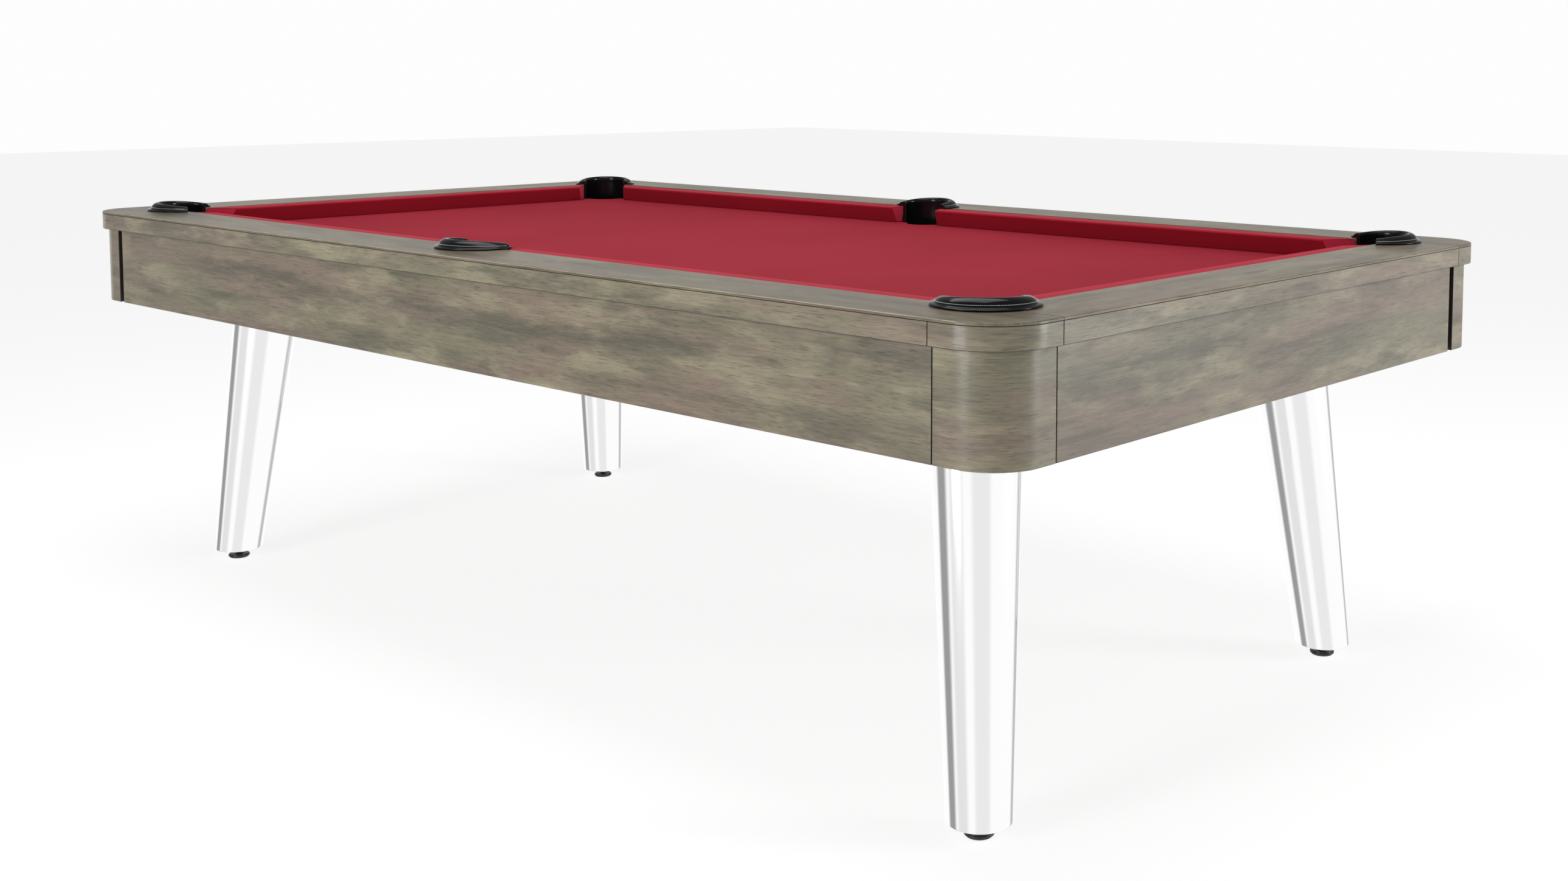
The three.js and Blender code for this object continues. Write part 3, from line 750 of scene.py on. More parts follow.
# The bed's copy is a little paler and pinker than the cushions', though the cloth is one: painted sheen of
# the cloth seen at a low angle.
bed_worsted = worsted("bed_worsted", colour(136, 24, 40), colour(141, 28, 44), 0.06)
cushion_worsted = worsted("cushion_worsted", colour(132, 12, 30), colour(138, 16, 34), 0.4)
# A lighter copy of the cushion cloth for the facings: painted light.
facing_worsted = worsted("facing_worsted", colour(168, 36, 60), colour(174, 40, 64), 0.4)
print("cloth finishes:", bed_worsted.name, cushion_worsted.name, facing_worsted.name)

# %% [markdown]
# ## Bed cloth
# One sheet is stretched over the slates and stapled under their edges; at each pocket it is cut and pulled
# down over the rim of the throat. It starts as a plate with the throats drilled out. Only its top is kept,
# the rim of each throat is drawn down, and the sheet gets its thickness last.

# %% Stretch the cloth over the slates
CLOTH_THROAT = 44.2 * MM
CLOTH_FOLD = 14 * MM
CLOTH_BEND = 2.2 * MM
THROAT_SIDES = 72
cloth_low, cloth_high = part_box("bed_cloth")
cut_from, cut_to = BED_Z - 2 * CLOTH_FOLD, BED_Z + CLOTH_FOLD


def facing_out(name, centre):
    """The move to a pocket that turns +X towards the outside of the table."""
    sx, sy = CORNERS.get(name, (0, math.copysign(1, centre.y)))
    return Matrix.Translation(centre) @ Matrix.Rotation(math.atan2(sy, sx), 4, "Z")


cloth = board("bed_cloth_finished", (cloth_low.x, cloth_low.y, BED_Z - CLOTH_FOLD), cloth_high)
drill_pockets(cloth, CLOTH_THROAT, cut_from, cut_to, THROAT_SIDES)
for name, centre in POCKETS.items():
    seat = board("seat", (-20 * MM, -90 * MM, cut_from), (150 * MM, 90 * MM, cut_to))
    disc = rod("disc", (0, 0), RING_HOLE, cut_from, cut_to, THROAT_SIDES)
    modify(disc, "BOOLEAN", object=seat, operation="INTERSECT", solver="EXACT")
    bpy.data.objects.remove(seat)
    disc.data.transform(facing_out(name, centre))
    cut_or_join(cloth, disc, "DIFFERENCE")


def on_throat(face):
    """A face of the round wall on the player's side of a pocket."""
    middle = face.calc_center_median()
    return abs(face.normal.z) < 0.1 and any(
        abs((middle.xy - centre.xy).length - CLOTH_THROAT) < 1.0 * MM for centre in POCKETS.values())


pick(cloth, "FACE", lambda face: not (face.normal.z > 0.9 or on_throat(face)))
bpy.ops.mesh.delete(type="FACE")
leave()
pick(cloth, "EDGE", lambda edge: len(edge.link_faces) == 2 and edge.calc_face_angle(0) > 1)
bpy.ops.mesh.bevel(offset=CLOTH_BEND, segments=4, affect="EDGES")
leave()
modify(cloth, "SOLIDIFY", thickness=cloth_high.z - cloth_low.z, offset=-1)
cloth.data.shade_smooth()
modify(cloth, "WEIGHTED_NORMAL", keep_sharp=True, weight=100)
place(cloth, bed_worsted, "cloth", stands_for=["bed_cloth"])

# %% [markdown]
# ## Cushions
# A cushion is a firm rubber strip under tight cloth: a sharp nose, a face that slopes back underneath, a
# faintly crowned top, and facings cut at an angle where it meets a pocket. A cube is reshaped into that
# section, its ends are cut off by the facing planes, and its edges are rounded as the cloth rounds them.

# %% Shape one cushion
UNDERCUT = 14 * MM
CUSHION_DEPTH = WOOD_Y - NOSE_Y - GAP
NOSE_RADIUS = 4.5 * MM
NOSE_DROP = 1.2 * MM
CROWN = 0.5 * MM
BACK_DROP = 0.4 * MM


def cushion(name, nose_from, nose_to, lean_from, lean_to):
    """A cushion along +X with its nose on y = 0 and its ends leaning back by so many degrees."""
    spare = 2 * CUSHION_DEPTH
    height = RAIL_TOP - BED_Z
    piece = board(name, (nose_from - spare, 0, GAP), (nose_to + spare, CUSHION_DEPTH, height - NOSE_DROP))
    pick(piece, "EDGE", lambda edge: middle_of(edge).y < MM and middle_of(edge).z < MM)
    bpy.ops.transform.translate(value=(0, UNDERCUT, 0))
    leave()
    pick(piece, "EDGE", lambda edge: middle_of(edge).y < MM and middle_of(edge).z > height / 2
         and abs((edge.verts[0].co - edge.verts[1].co).normalized().x) > 0.9)
    bpy.ops.transform.translate(value=(0, 0, -NOSE_DROP))
    bpy.ops.mesh.bevel(offset=NOSE_RADIUS, segments=6, profile=0.5, affect="EDGES")
    leave()
    for share in (0.3, 0.52, 0.74, 0.9):
        pick(piece, "FACE", lambda face: True)
        bpy.ops.mesh.bisect(plane_co=(0, CUSHION_DEPTH * share, 0), plane_no=(0, 1, 0))
        leave()
    for vertex in piece.data.vertices:
        if vertex.co.z > height / 2:
            run = min(max(vertex.co.y / CUSHION_DEPTH, 0), 1)
            vertex.co.z += CROWN * math.sin(math.pi * run) - BACK_DROP * max(run - 0.9, 0) * 10
    for end, side, lean in ((nose_from, -1, lean_from), (nose_to, 1, lean_to)):
        slant = math.radians(lean)
        pick(piece, "FACE", lambda face: True)
        bpy.ops.mesh.bisect(plane_co=(end, 0, 0), plane_no=(side * math.cos(slant), -math.sin(slant), 0),
                            use_fill=True, clear_outer=True)
        leave()
    return piece


print("cushion depth", round(CUSHION_DEPTH, 4))

# %% [markdown]
# ## Finish one cushion
# Where a cushion ends at a pocket, the cloth is folded over the facing, and the facing is painted a little
# lighter as painted light. The edges are rounded before the pocket is cut, for the same reason as on the
# rails. No cloth simulation is needed, because the cloth is glued tight and shows no pull.

# %% Turn, round and cut a cushion
def on_facing(face):
    """A face of an end that looks into a pocket, painted lighter as painted light."""
    along = abs(face.normal.x) if abs(face.center.y) > NOSE_Y else abs(face.normal.y)
    upright_face = abs(face.normal.z) < 0.2
    return upright_face and along > 0.5 and face.area > 2e-4


def finish_cushion(piece, node, matrix):
    """Turns a cushion into its place, cuts it round the rings and rounds its edges."""
    piece.data.transform(Matrix.Translation((0, 0, BED_Z)) @ matrix)
    modify(piece, "BEVEL", width=2.4 * MM, segments=4, limit_method="ANGLE",
           angle_limit=math.radians(30), use_clamp_overlap=True)
    drill_pockets(piece, RING_HOLE, BED_Z - CLOTH_FOLD, RAIL_TOP + CAP)
    pick(piece, "FACE", lambda face: True)
    bpy.ops.mesh.remove_doubles(threshold=0.05 * MM)
    leave()
    piece.data.shade_smooth()
    modify(piece, "WEIGHTED_NORMAL", keep_sharp=True, weight=60)
    place(piece, cushion_worsted, "cushion", stands_for=[node], insets=[(facing_worsted, on_facing)])


print("cushions are cut", round(RING_HOLE, 4), "from each pocket's middle")

# %% [markdown]
# ## Six cushions
# Four long cushions lie between a corner and a side pocket, and two short ones between two corners. Mirrored
# copies would do, but a mirror swaps the two facing angles and turns the mesh inside out. Each is made
# along X with its own pair of angles instead, and then turned to its side of the table.

# %% Make the six cushions
CORNER_LEAN, SIDE_LEAN = 48, 18
CORNER_MOUTH, SIDE_MOUTH = 82 * MM, 66 * MM
long_nose = Matrix.Translation((0, NOSE_Y, 0))
for side, turn in (("back", 0), ("front", 180)):
    for hand, sign in (("right", 1), ("left", -1)):
        ends = (SIDE_MOUTH, NOSE_X - CORNER_MOUTH, SIDE_LEAN, CORNER_LEAN)
        if sign < 0:
            ends = (-ends[1], -ends[0], CORNER_LEAN, SIDE_LEAN)
        named = hand if turn == 0 else {"right": "left", "left": "right"}[hand]
        node = f"cushion_{side}_{named}"
        finish_cushion(cushion(node + "_finished", *ends), node, turned(turn) @ long_nose)
for side, turn in (("right", -90), ("left", 90)):
    reach = NOSE_Y - CORNER_MOUTH
    node = f"cushion_{side}"
    piece = cushion(node + "_finished", -reach, reach, CORNER_LEAN, CORNER_LEAN)
    finish_cushion(piece, node, turned(turn) @ Matrix.Translation((0, NOSE_X, 0)))
print("cushions:", len(piece.data.polygons), "faces in the last")

# %% [markdown]
# ## Black leather
# The pockets are moulded over an iron and covered in black leather with a close pebble grain. It is glossy
# on the crown, where hands rub it, and duller in the folds.

# %% Finish of the pockets
def leather(name, tint, low, high):
    finish = Finish(name, specular_ior_level=0.2)
    where = finish.place()
    pebble = finish.node("ShaderNodeTexVoronoi", {"feature": "SMOOTH_F1"},
                         {"Vector": where, "Scale": 620.0, "Smoothness": 0.6})
    crease = finish.noise(where, (95, 95, 95), 4, 0.6)
    rub = finish.noise(where, (24, 24, 24), 2)
    shade = finish.mix(finish.between(crease, 0.35, 0.7), tint, tuple(1.6 * v for v in tint[:3]) + (1,))
    finish.feed(Base_Color=shade, Roughness=finish.between(rub, 0.3, 0.7, low, high))
    finish.bump(1 - pebble * 0.5 + crease * 0.8, 0.04 * MM, 0.4)
    return finish.material


pocket_leather = leather("pocket_leather", (0.003, 0.0031, 0.0037, 1), 0.12, 0.22)
basket_leather = leather("basket_leather", (0.006, 0.006, 0.007, 1), 0.42, 0.6)
thread_finish = Finish("thread", roughness=0.5)
thread_finish.skin.inputs["Base Color"].default_value = colour(196, 196, 198)
print("leather finishes:", pocket_leather.name, basket_leather.name)

# %% [markdown]
# ## Pocket rings
# A ring is the same section all round: a wall that drops through the slate, a rolled hump and a flange that
# lies on the rail. The section is drawn once and spun about the pocket's middle. The hump is then lowered
# towards the ends of the arms, and the smooth skin comes from a subdivision surface.

# %% Spin one ring
CREST_MIDDLE, CREST_END = 18.5 * MM, 10.5 * MM
FLANGE_TOP = 3.5 * MM
SPIN_STEPS = 40
WALL_FOOT = SLATE_BOTTOM - RAIL_TOP
# distance from the pocket's middle and height above the rail, in millimetres, once round the section
WALL_SIDE = [(52.0, None), (60.0, None), (60.0, -6.0)]
FLANGE_SIDE = [(60.3, 0.6), (69.0, 0.6), (77.6, 0.6), (79.0, 1.9), (77.8, 3.6), (74.4, 4.2), (72.4, 4.4)]
HUMP_SIDE = [(71.4, 6.0), (70.2, 9.0), (67.6, 12.8), (63.2, 16.2), (58.0, 17.9), (54.0, 16.8)]
BORE_SIDE = [(51.8, 13.8), (51.3, 9.0), (52.0, 0.0), (52.0, -20.0)]
RING_SECTION = WALL_SIDE + FLANGE_SIDE + HUMP_SIDE + BORE_SIDE


def spin_ring(name, arm):
    """A ring whose closed back faces +X and whose arms reach back by an angle on either side."""
    clear_selection()
    bpy.ops.mesh.primitive_circle_add(vertices=len(RING_SECTION), radius=1, fill_type="NGON")
    ring = settle(name)
    start = Matrix.Rotation(math.radians(-arm), 4, "Z")
    for vertex, (out, height) in zip(ring.data.vertices, RING_SECTION):
        rise = WALL_FOOT if height is None else height * MM
        vertex.co = start @ Vector((out * MM, 0, RAIL_TOP + rise))
    pick(ring, "FACE", lambda face: True)
    bpy.ops.mesh.spin(steps=SPIN_STEPS, angle=math.radians(2 * arm), center=(0, 0, 0), axis=(0, 0, -1))
    bpy.ops.mesh.select_all(action="SELECT")
    bpy.ops.mesh.remove_doubles(threshold=0.01 * MM)
    bpy.ops.mesh.fill_holes(sides=len(RING_SECTION))
    bpy.ops.mesh.normals_make_consistent(inside=False)
    leave()
    pick(ring, "FACE", lambda face: len(face.verts) == len(RING_SECTION))
    bpy.ops.mesh.inset(thickness=1.2 * MM, use_individual=True)
    leave()
    return ring


def lowered(point, arm):
    """Where a point of the section goes: the hump sinks towards the ends of the arms."""
    rise = point.z - RAIL_TOP - FLANGE_TOP
    if rise <= 0:
        return point.z
    share = min(abs(math.degrees(math.atan2(point.y, point.x))) / arm, 1) ** 2
    drop = 1 - share * (CREST_MIDDLE - CREST_END) / (CREST_MIDDLE - FLANGE_TOP)
    return RAIL_TOP + FLANGE_TOP + rise * drop


print("ring section:", len(RING_SECTION), "points")

# %% [markdown]
# ## Stitches
# A row of close stitches holds the leather along the outer slope of each ring. A curve with an array could
# lay them, but the row also sinks with the hump. So one small stitch is copied along the arc, and each copy
# is lowered by the rule that lowers the ring. A stitch has few faces, since there are hundreds.

# %% Stitches along the outer slope
STITCH_RADIUS, STITCH_RISE = 70.7 * MM, 8.2 * MM
STITCH_SIZE = (0.42 * MM, 0.90 * MM, 0.48 * MM)
STITCH_PITCH = 2.5 * MM
STITCH_START = 3


def stitch_row(name, arm):
    """One row of short stitches that follows the ring."""
    clear_selection()
    bpy.ops.mesh.primitive_uv_sphere_add(segments=6, ring_count=4, radius=1, scale=STITCH_SIZE)
    stitch = settle("stitch")
    count = int(2 * math.radians(arm - STITCH_START) * STITCH_RADIUS / STITCH_PITCH)
    row = bmesh.new()
    for number in range(count):
        angle = math.radians(-arm + STITCH_START) + number * STITCH_PITCH / STITCH_RADIUS
        out = Vector((math.cos(angle), math.sin(angle), 0))
        spot = out * STITCH_RADIUS + Vector((0, 0, RAIL_TOP + STITCH_RISE))
        spot.z = lowered(spot, arm)
        before = len(row.verts)
        row.from_mesh(stitch.data)
        row.verts.ensure_lookup_table()
        move = Matrix.Translation(spot) @ Matrix.Rotation(angle, 4, "Z")
        for vertex in row.verts[before:]:
            vertex.co = move @ vertex.co
    row.to_mesh(stitch.data)
    row.free()
    stitch.name = stitch.data.name = name
    stitch.data.shade_smooth()
    return stitch


print("stitches", STITCH_PITCH, "apart")

# %% [markdown]
# ## Six rings in place
# The corner pockets share one ring, whose arms reach a little further round than those of the side pockets.
# Each kind is modelled once and smoothed by a subdivision surface. Copies of the ring and its stitches then
# go to each pocket, turned so that the closed back faces out of the table.

# %% Put a ring and its stitches at each pocket
ARMS = {"corner": 112, "side": 102}
models = {}
for kind, arm in ARMS.items():
    ring = spin_ring(f"{kind}_ring", arm)
    for vertex in ring.data.vertices:
        vertex.co.z = lowered(vertex.co, arm)
    modify(ring, "SUBSURF", levels=2, render_levels=2)
    ring.data.shade_smooth()
    models[kind] = (ring, stitch_row(f"{kind}_stitches", arm))
for name, centre in POCKETS.items():
    kind = "corner" if name in CORNERS else "side"
    spot = facing_out(name, centre)
    ring = copy_of(models[kind][0], f"pocket_ring_{name}_finished", spot)
    place(ring, pocket_leather, "pocket_leather", stands_for=[f"pocket_ring_{name}"])
    stitches = copy_of(models[kind][1], f"pocket_stitches_{name}", spot)
    place(stitches, thread_finish.material, "pocket_leather")
for pair in models.values():
    for piece in pair:
        bpy.data.objects.remove(piece)
print("rings:", len(ring.data.polygons), "faces, stitches:", len(stitches.data.polygons))

# %% [markdown]
# ## Baskets
# Under each throat hangs a leather cup with a turned-out rim that is screwed to the slate. It is a cylinder
# whose foot is drawn in step by step, opened at the top and given a wall.

# %% Six baskets
RIM_THICKNESS, RIM_WIDTH = 4 * MM, 6 * MM
BASKET_WALL = 4 * MM
# the share of the depth that each step goes down, and how much narrower it ends
OUTSIDE = ((0.30, 1.0), (0.30, 1.0), (0.16, 0.97), (0.12, 0.90), (0.066, 0.76), (0.018, 0.70))
INSIDE = ((0.62, 1.0), (0.18, 0.96), (0.10, 0.84), (0.045, 0.66))


def draw_down(cup, test, margin, depth, steps):
    """Insets the picked face and draws it down step by step."""
    pick(cup, "FACE", test)
    bpy.ops.mesh.inset(thickness=margin)
    for drop, shrink in steps:
        bpy.ops.mesh.extrude_region_move(TRANSFORM_OT_translate={"value": (0, 0, -drop * depth)})
        bpy.ops.transform.resize(value=(shrink, shrink, 1))
    leave()


for name, centre in POCKETS.items():
    node = f"pocket_basket_{name}"
    low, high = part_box(node)
    cup = rod(node + "_finished", centre, (high.x - low.x) / 2, high.z - RIM_THICKNESS, high.z)
    depth = high.z - low.z
    draw_down(cup, lambda face: face.normal.z < -0.9, RIM_WIDTH, depth, OUTSIDE)
    draw_down(cup, lambda face: face.normal.z > 0.9 and face.calc_center_median().z > high.z - MM,
              RIM_WIDTH + BASKET_WALL, depth, INSIDE)
    ease(cup, 1.2 * MM, 2, 50)
    place(cup, basket_leather, "pocket_leather", stands_for=[node])
print("baskets:", len(cup.data.polygons), "faces each")

# %% [markdown]
# ## Sights and the blank inlay
# Small round inlays of darker wood mark eighths of the length and quarters of the width. A plain oval one
# sits in the middle of an end rail. Each is a thin disc let into the rail, a hair proud of it.

# %% Let the sights in
SIGHT_RADIUS = 9.5 * MM
SIGHT_INSET = 58 * MM
INLAY_BOTTOM, INLAY_TOP = RAIL_TOP - 1.5 * MM, RAIL_TOP + 0.12 * MM
BLANK_HALF = (7 * MM, 36 * MM)
inlay_wood = stained_wood("inlay_wood", colour(84, 75, 64), colour(90, 78, 68), colour(70, 63, 53),
                          colour(96, 90, 78))
sight_lines = [(NOSE_X * 2 * step / 8, side * (WOOD_Y + SIGHT_INSET), 0)
               for side in (-1, 1) for step in (-3, -2, -1, 1, 2, 3)]
sight_lines += [(side * (WOOD_X + SIGHT_INSET), NOSE_Y * 2 * step / 4, 0)
                for side in (-1, 1) for step in (-1, 1)]
sights = []
for number, spot in enumerate(sight_lines):
    sight = rod(f"sight_{number}", spot, SIGHT_RADIUS, INLAY_BOTTOM, INLAY_TOP, 40)
    ease(sight, 0.1 * MM, 1, 60)
    sights.append(sight)
sight_set = joined("rail_sights", sights)
lay_grain(sight_set, "X")
place(sight_set, inlay_wood, "rail_wood")
blank = rod("blank_inlay", (0, 0), 1, INLAY_BOTTOM, INLAY_TOP, 56)
blank.data.transform(Matrix.Translation((WOOD_X + SIGHT_INSET, 0, 0)) @ Matrix.Diagonal((*BLANK_HALF, 1, 1)))
ease(blank, 0.1 * MM, 1, 60)
lay_grain(blank, "Y")
place(blank, inlay_wood, "rail_wood")
print("sights:", len(sights), "and one blank inlay")

# %% [markdown]
# ## Finishes of frame, metal and stone
# The beams under the slate are plain sawn softwood. The legs are polished bright, the plates and the
# levellers' dishes are blackened steel, and the slates keep their measured shape with a banded stone finish.
# Polish is a low roughness that varies very little, so the reflections do the rest.

# %% Finishes of wood frame, steel and slate
def sawn_wood():
    finish = Finish("sawn_wood", roughness=0.7)
    grain = finish.attribute("grain")
    ring = finish.noise(grain, (1.4, 60, 60), 3, 0.6)
    fleck = finish.noise(grain, (14, 300, 300), 3, 0.6)
    tint = finish.mix(finish.between(ring, 0.35, 0.65), colour(205, 170, 122), colour(176, 136, 90))
    finish.feed(Base_Color=finish.shaded(tint, 0.85 + fleck * 0.3), Roughness=0.6 + fleck * 0.2)
    finish.bump(fleck, 0.3 * MM, 0.6)
    return finish.material


def metal(name, tint, rough, scale):
    finish = Finish(name, metallic=1.0)
    finish.skin.inputs["Base Color"].default_value = tint
    haze = finish.noise(finish.place(), (scale, scale, scale), 3)
    finish.feed(Roughness=finish.between(haze, 0.3, 0.7, rough * 0.85, rough * 1.15))
    return finish.material


def stone():
    finish = Finish("slate_stone", roughness=0.6)
    where = finish.place()
    bands = finish.noise(where, (3, 3, 90), 4, 0.6)
    grit = finish.noise(where, (420, 420, 420), 2)
    tint = finish.mix(bands, colour(78, 84, 88), colour(104, 110, 112))
    finish.feed(Base_Color=tint, Roughness=0.5 + grit * 0.25)
    finish.bump(grit, 0.15 * MM, 0.5)
    return finish.material


softwood = sawn_wood()
leg_metal = metal("leg_metal", (0.94, 0.94, 0.94, 1), 0.1, 3)
black_steel = metal("black_steel", (0.05, 0.05, 0.055, 1), 0.4, 60)
bright_steel = metal("bright_steel", (0.55, 0.56, 0.57, 1), 0.25, 60)
rubber = Finish("foot_rubber", roughness=0.6)
rubber.skin.inputs["Base Color"].default_value = (0.02, 0.02, 0.021, 1)
slate_finish = stone()
for name in ("slate_left", "slate_middle", "slate_right"):
    for slot in nodes[name].material_slots:
        slot.material = slate_finish
print("metal, stone and frame finishes ready")

# %% [markdown]
# ## Beams and leg plates
# Two long beams and two cross beams carry the slates, and a round plate spreads each leg's load into them.
# Little of them can be seen, so each beam is a board with well eased edges and each plate a turned disc.

# %% Beams and leg plates
for node in ("long_beam_front", "long_beam_back", "cross_beam_left", "cross_beam_right"):
    beam = board(node + "_finished", *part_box(node))
    ease(beam, 2.5 * MM)
    lay_grain(beam, "X" if node.startswith("long") else "Y")
    place(beam, softwood, "frame_wood", stands_for=[node])
for name in CORNERS:
    low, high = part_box(f"leg_plate_{name}")
    middle = (low + high) / 2
    plate = rod(f"leg_plate_{name}_finished", middle, (high.x - low.x) / 2, low.z, high.z, 64)
    ease(plate, 0.8 * MM, 2)
    place(plate, black_steel, "plate_steel", stands_for=[f"leg_plate_{name}"])
print("beam finish", softwood.name, "plate faces", len(plate.data.polygons))

# %% [markdown]
# ## Legs
# A leg is a tapered tube, polished bright, that leans outwards and is cut level at its head and its foot. A
# spun profile would be cut square to its own axis. So an upright cone is made at its full height and slid
# sideways in proportion to height, which keeps both ends level. The foot is bored for the screw.

# %% Four legs
LEG_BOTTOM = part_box("leg_back_right")[0].z
LEG_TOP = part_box("leg_back_right")[1].z
FOOT_RADIUS, TOP_RADIUS = 49.5 * MM, 70.5 * MM
BOSS_RADIUS, BORE_RADIUS, BORE_DEPTH = 16 * MM, 6.6 * MM, 30 * MM


def middle_of_box(node):
    low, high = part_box(node)
    return (low + high) / 2


for name in CORNERS:
    foot, head = middle_of_box(f"leveller_{name}"), middle_of_box(f"leg_plate_{name}")
    clear_selection()
    bpy.ops.mesh.primitive_cone_add(vertices=128, radius1=FOOT_RADIUS, radius2=TOP_RADIUS,
                                    depth=LEG_TOP - LEG_BOTTOM, location=(0, 0, (LEG_TOP - LEG_BOTTOM) / 2))
    leg = settle(f"leg_{name}_finished")
    pick(leg, "FACE", lambda face: face.normal.z < -0.9)
    bpy.ops.mesh.inset(thickness=FOOT_RADIUS - BOSS_RADIUS)
    bpy.ops.mesh.inset(thickness=BOSS_RADIUS - BORE_RADIUS)
    bpy.ops.mesh.extrude_region_move(TRANSFORM_OT_translate={"value": (0, 0, BORE_DEPTH)})
    leave()
    ease(leg, 1.6 * MM, 3, 50)
    run = (head - foot) / (LEG_TOP - LEG_BOTTOM)
    lean = Matrix(((1, 0, run.x, foot.x), (0, 1, run.y, foot.y), (0, 0, 1, LEG_BOTTOM), (0, 0, 0, 1)))
    leg.data.transform(lean)
    place(leg, leg_metal, "leg_metal", stands_for=[f"leg_{name}"])
print("legs:", len(leg.data.polygons), "faces each")

# %% [markdown]
# ## Screwed stem
# A leveller hangs on a screwed stem. The thread could be a true helix, but crests and roots in even rings
# look the same at this size and close cleanly at both ends. The stem starts as a short rod, and its end face
# is drawn out half a pitch at a time, narrower and wider by turns.

# %% Draw out a stem
STEM_RADIUS = 6 * MM
THREAD_PITCH, THREAD_DEPTH = 1.75 * MM, 0.9 * MM


def stem(name, centre, bottom, top):
    """A screwed stem, drawn out one crest and one root at a time."""
    screw = rod(name, centre, STEM_RADIUS, bottom, bottom + THREAD_PITCH / 2, 20)
    pick(screw, "FACE", lambda face: face.normal.z > 0.9)
    shrink = (STEM_RADIUS - THREAD_DEPTH) / STEM_RADIUS
    height = bottom + THREAD_PITCH / 2
    inward = True
    while height < top - THREAD_PITCH:
        bpy.ops.mesh.extrude_region_move(TRANSFORM_OT_translate={"value": (0, 0, THREAD_PITCH / 2)})
        scale = shrink if inward else 1 / shrink
        bpy.ops.transform.resize(value=(scale, scale, 1))
        inward = not inward
        height += THREAD_PITCH / 2
    leave()
    return screw


print("thread pitch", THREAD_PITCH)

# %% [markdown]
# ## Levellers
# A leveller is a rubber foot in a pressed steel dish, with the stem in its middle and a locknut under the
# leg. The dish could be a spun profile; here a disc's top face is inset and moved three times, as a press
# would form it. All of it rides on the leveller's own body, so it goes up and down with the screw.

# %% Four levellers
PAD_RADIUS, PAD_TOP = 22.5 * MM, 10 * MM
NUT_RADIUS, NUT_HEIGHT = 10 * MM, 7 * MM
nut_top = LEG_BOTTOM - GAP
for name in CORNERS:
    low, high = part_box(f"leveller_{name}")
    centre = (low + high) / 2
    base = rod(f"leveller_pad_{name}", centre, PAD_RADIUS - 2.5 * MM, 0, 4.5 * MM, 48)
    ease(base, 1.2 * MM, 3)
    place(base, rubber.material, "leveller_metal", f"leveller_{name}")
    dish = rod(f"leveller_dish_{name}", centre, PAD_RADIUS, 2.6 * MM, 6.5 * MM, 64)
    pick(dish, "FACE", lambda face: face.normal.z > 0.9)
    bpy.ops.mesh.inset(thickness=2.5 * MM)
    bpy.ops.mesh.extrude_region_move(TRANSFORM_OT_translate={"value": (0, 0, 2.4 * MM)})
    bpy.ops.mesh.inset(thickness=5 * MM)
    bpy.ops.transform.translate(value=(0, 0, -1.2 * MM))
    bpy.ops.mesh.inset(thickness=4 * MM)
    bpy.ops.transform.translate(value=(0, 0, 2.2 * MM))
    leave()
    ease(dish, 0.9 * MM, 3, 25)
    place(dish, black_steel, "leveller_metal", f"leveller_{name}", [f"leveller_{name}"])
    nut = rod(f"leveller_nut_{name}", centre, NUT_RADIUS, nut_top - NUT_HEIGHT, nut_top, 6)
    ease(nut, 0.7 * MM, 2)
    screw = stem("stem", centre, PAD_TOP - 2 * MM, high.z)
    bright = joined(f"leveller_stem_{name}", [nut, screw])
    place(bright, bright_steel, "leveller_metal", f"leveller_{name}")
print("levellers:", len(bright.data.polygons), "faces in a stem and nut")

# %% [markdown]
# ## Floor
# The table stands on a plain white floor that glows a little, so it stays pale where the soft light falls
# off and still takes a faint shadow. It is left out of reflections, because a real floor's dark and light
# patches would only confuse the polished legs.

# %% White floor
clear_selection()
bpy.ops.mesh.primitive_plane_add(size=40, location=(0, 0, 0))
floor = settle("floor")
floor_finish = Finish("floor", roughness=0.9, specular_ior_level=0.1)
floor_finish.skin.inputs["Base Color"].default_value = (0.22, 0.22, 0.22, 1)
floor_finish.skin.inputs["Emission Color"].default_value = (1, 1, 1, 1)
floor_finish.skin.inputs["Emission Strength"].default_value = 0.83
floor.data.materials.append(floor_finish.material)
floor.visible_glossy = False
print("floor ready")

# %% [markdown]
# ## Surroundings
# Polished metal shows only what stands around it, and in a room that is white all over a bright leg would
# vanish. A studio stands a few grey boards, called flags, against its white walls for that. Here four flags
# with soft edges are set out by compass direction, and the walls rise to a dimmer ceiling. The camera itself
# sees plain white behind the table.

# %% Studio walls
# each flag: where it starts and ends, as shares of a full turn, and how light it is
FLAGS = [(0.18, 0.27, 0.32), (0.3, 0.4, 0.76), (0.47, 0.6, 0.82), (0.86, 0.93, 0.5)]
SOFT_EDGE = 0.015
WALL = 0.98
CEILING = 0.26
BACKGROUND = 0.925
STRENGTH = 1.065

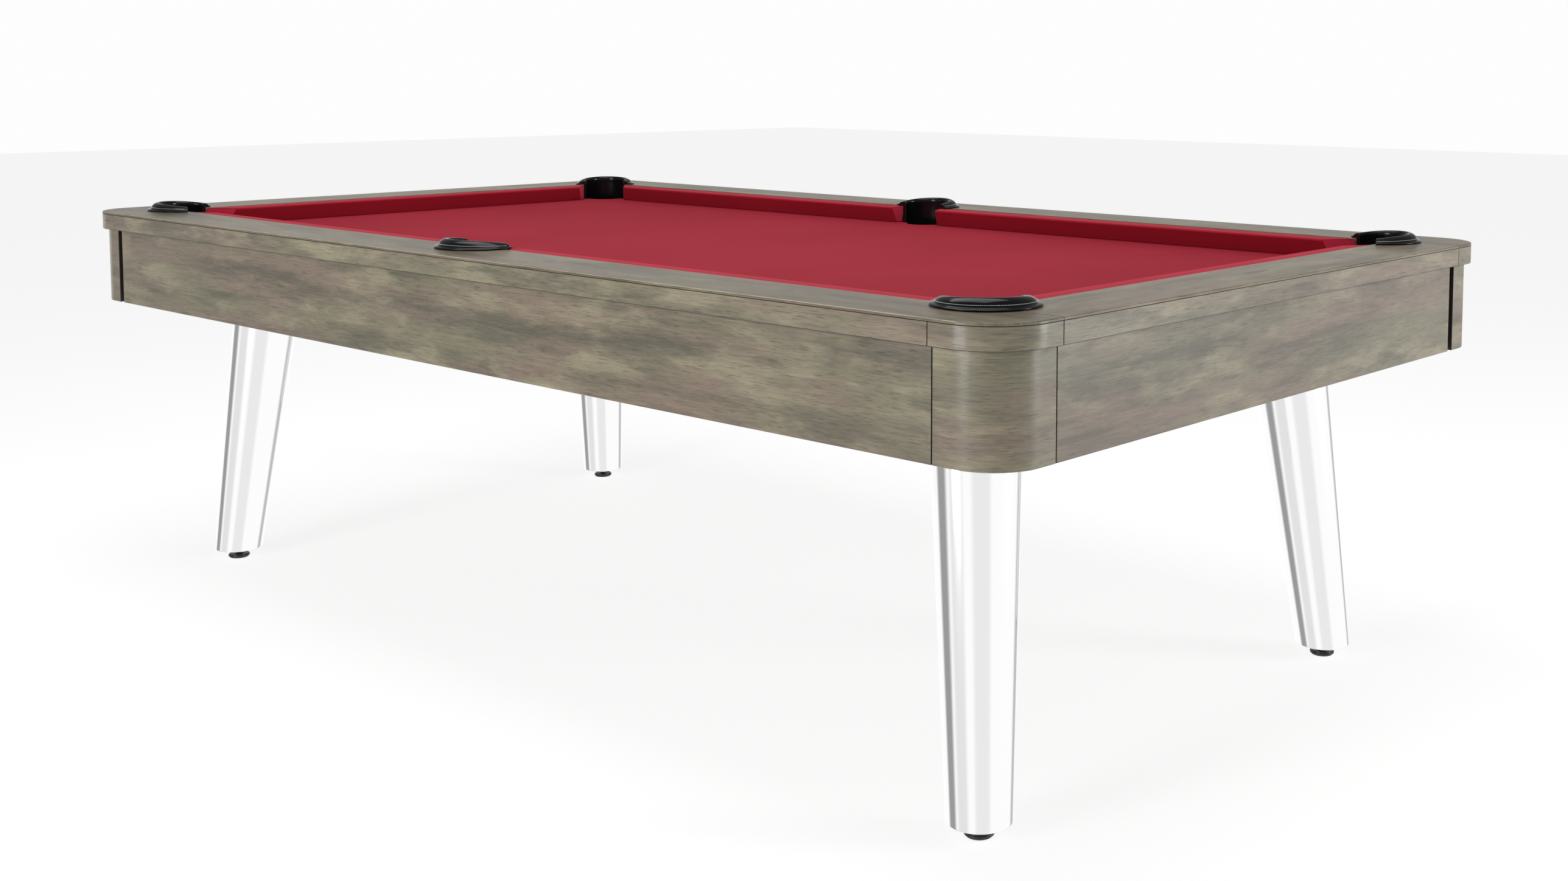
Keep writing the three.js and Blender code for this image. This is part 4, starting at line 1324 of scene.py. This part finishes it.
world = bpy.data.worlds.new("studio")
world.use_nodes = True
bpy.context.scene.world = world
walls = Backdrop(world)
backdrop = world.node_tree.nodes["Background"]
facing = math.atan2(EYE.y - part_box("leg_front_right")[0].y, EYE.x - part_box("leg_front_right")[1].x)
direction = walls.node("ShaderNodeTexCoord", output="Generated")
turn = {"Vector": direction, "Angle": -facing}
spun = walls.node("ShaderNodeVectorRotate", {"rotation_type": "Z_AXIS"}, turn)
east, north, height = [walls.node("ShaderNodeSeparateXYZ", {}, {0: spun}, output=axis) for axis in range(3)]
bearing = walls.node("ShaderNodeMath", {"operation": "ARCTAN2"}, {0: north, 1: east}) * (0.5 / math.pi) + 0.5


def grey_light(share):
    return (share, share, share, 1)


stops = [(0.0, grey_light(WALL))]
for start, end, share in FLAGS:
    stops.append((start - SOFT_EDGE, grey_light(WALL)))
    stops.append((start + SOFT_EDGE, grey_light(share)))
    stops.append((end - SOFT_EDGE, grey_light(share)))
    stops.append((end + SOFT_EDGE, grey_light(WALL)))
around = walls.node("ShaderNodeValToRGB", {"stops": stops}, {0: bearing})
lit = walls.mix(walls.between(height, 0.0, 0.25), around, grey_light(CEILING))
seen = walls.node("ShaderNodeLightPath", output=0)
world.node_tree.links.new(walls.mix(seen, lit, grey_light(BACKGROUND)).out, backdrop.inputs["Color"])
backdrop.inputs["Strength"].default_value = STRENGTH
print("grey flags:", len(FLAGS))

# %% [markdown]
# ## Lamps
# One large soft lamp overhead lights the cloth. One beyond each of the two near sides lights the cabinet and
# draws an upright highlight on the rounded corner. Area lamps are used because their size sets how soft the
# shadows and the highlights are. Colours are shown as they are, with no film look.

# %% Three soft lamps
def softbox(name, spot, target, width, height, power):
    lamp = bpy.data.lights.new(name, "AREA")
    lamp.shape, lamp.size, lamp.size_y, lamp.energy = "RECTANGLE", width, height, power
    holder = bpy.data.objects.new(name, lamp)
    aim = Vector(target) - Vector(spot)
    holder.matrix_world = Matrix.Translation(spot) @ aim.to_track_quat("-Z", "Y").to_matrix().to_4x4()
    bpy.context.scene.collection.objects.link(holder)


softbox("overhead", (0.0, -0.3, 3.4), (0, 0, 0.7), 3.4, 2.2, 84)
softbox("front", (0.1, -4.6, 1.3), (0.9, 0, 0.6), 1.5, 2.6, 125)
softbox("end", (5.0, 2.8, 1.3), (0.9, 0, 0.6), 1.4, 2.6, 170)
bpy.context.scene.view_settings.view_transform = "Standard"
bpy.context.scene.view_settings.look = "None"
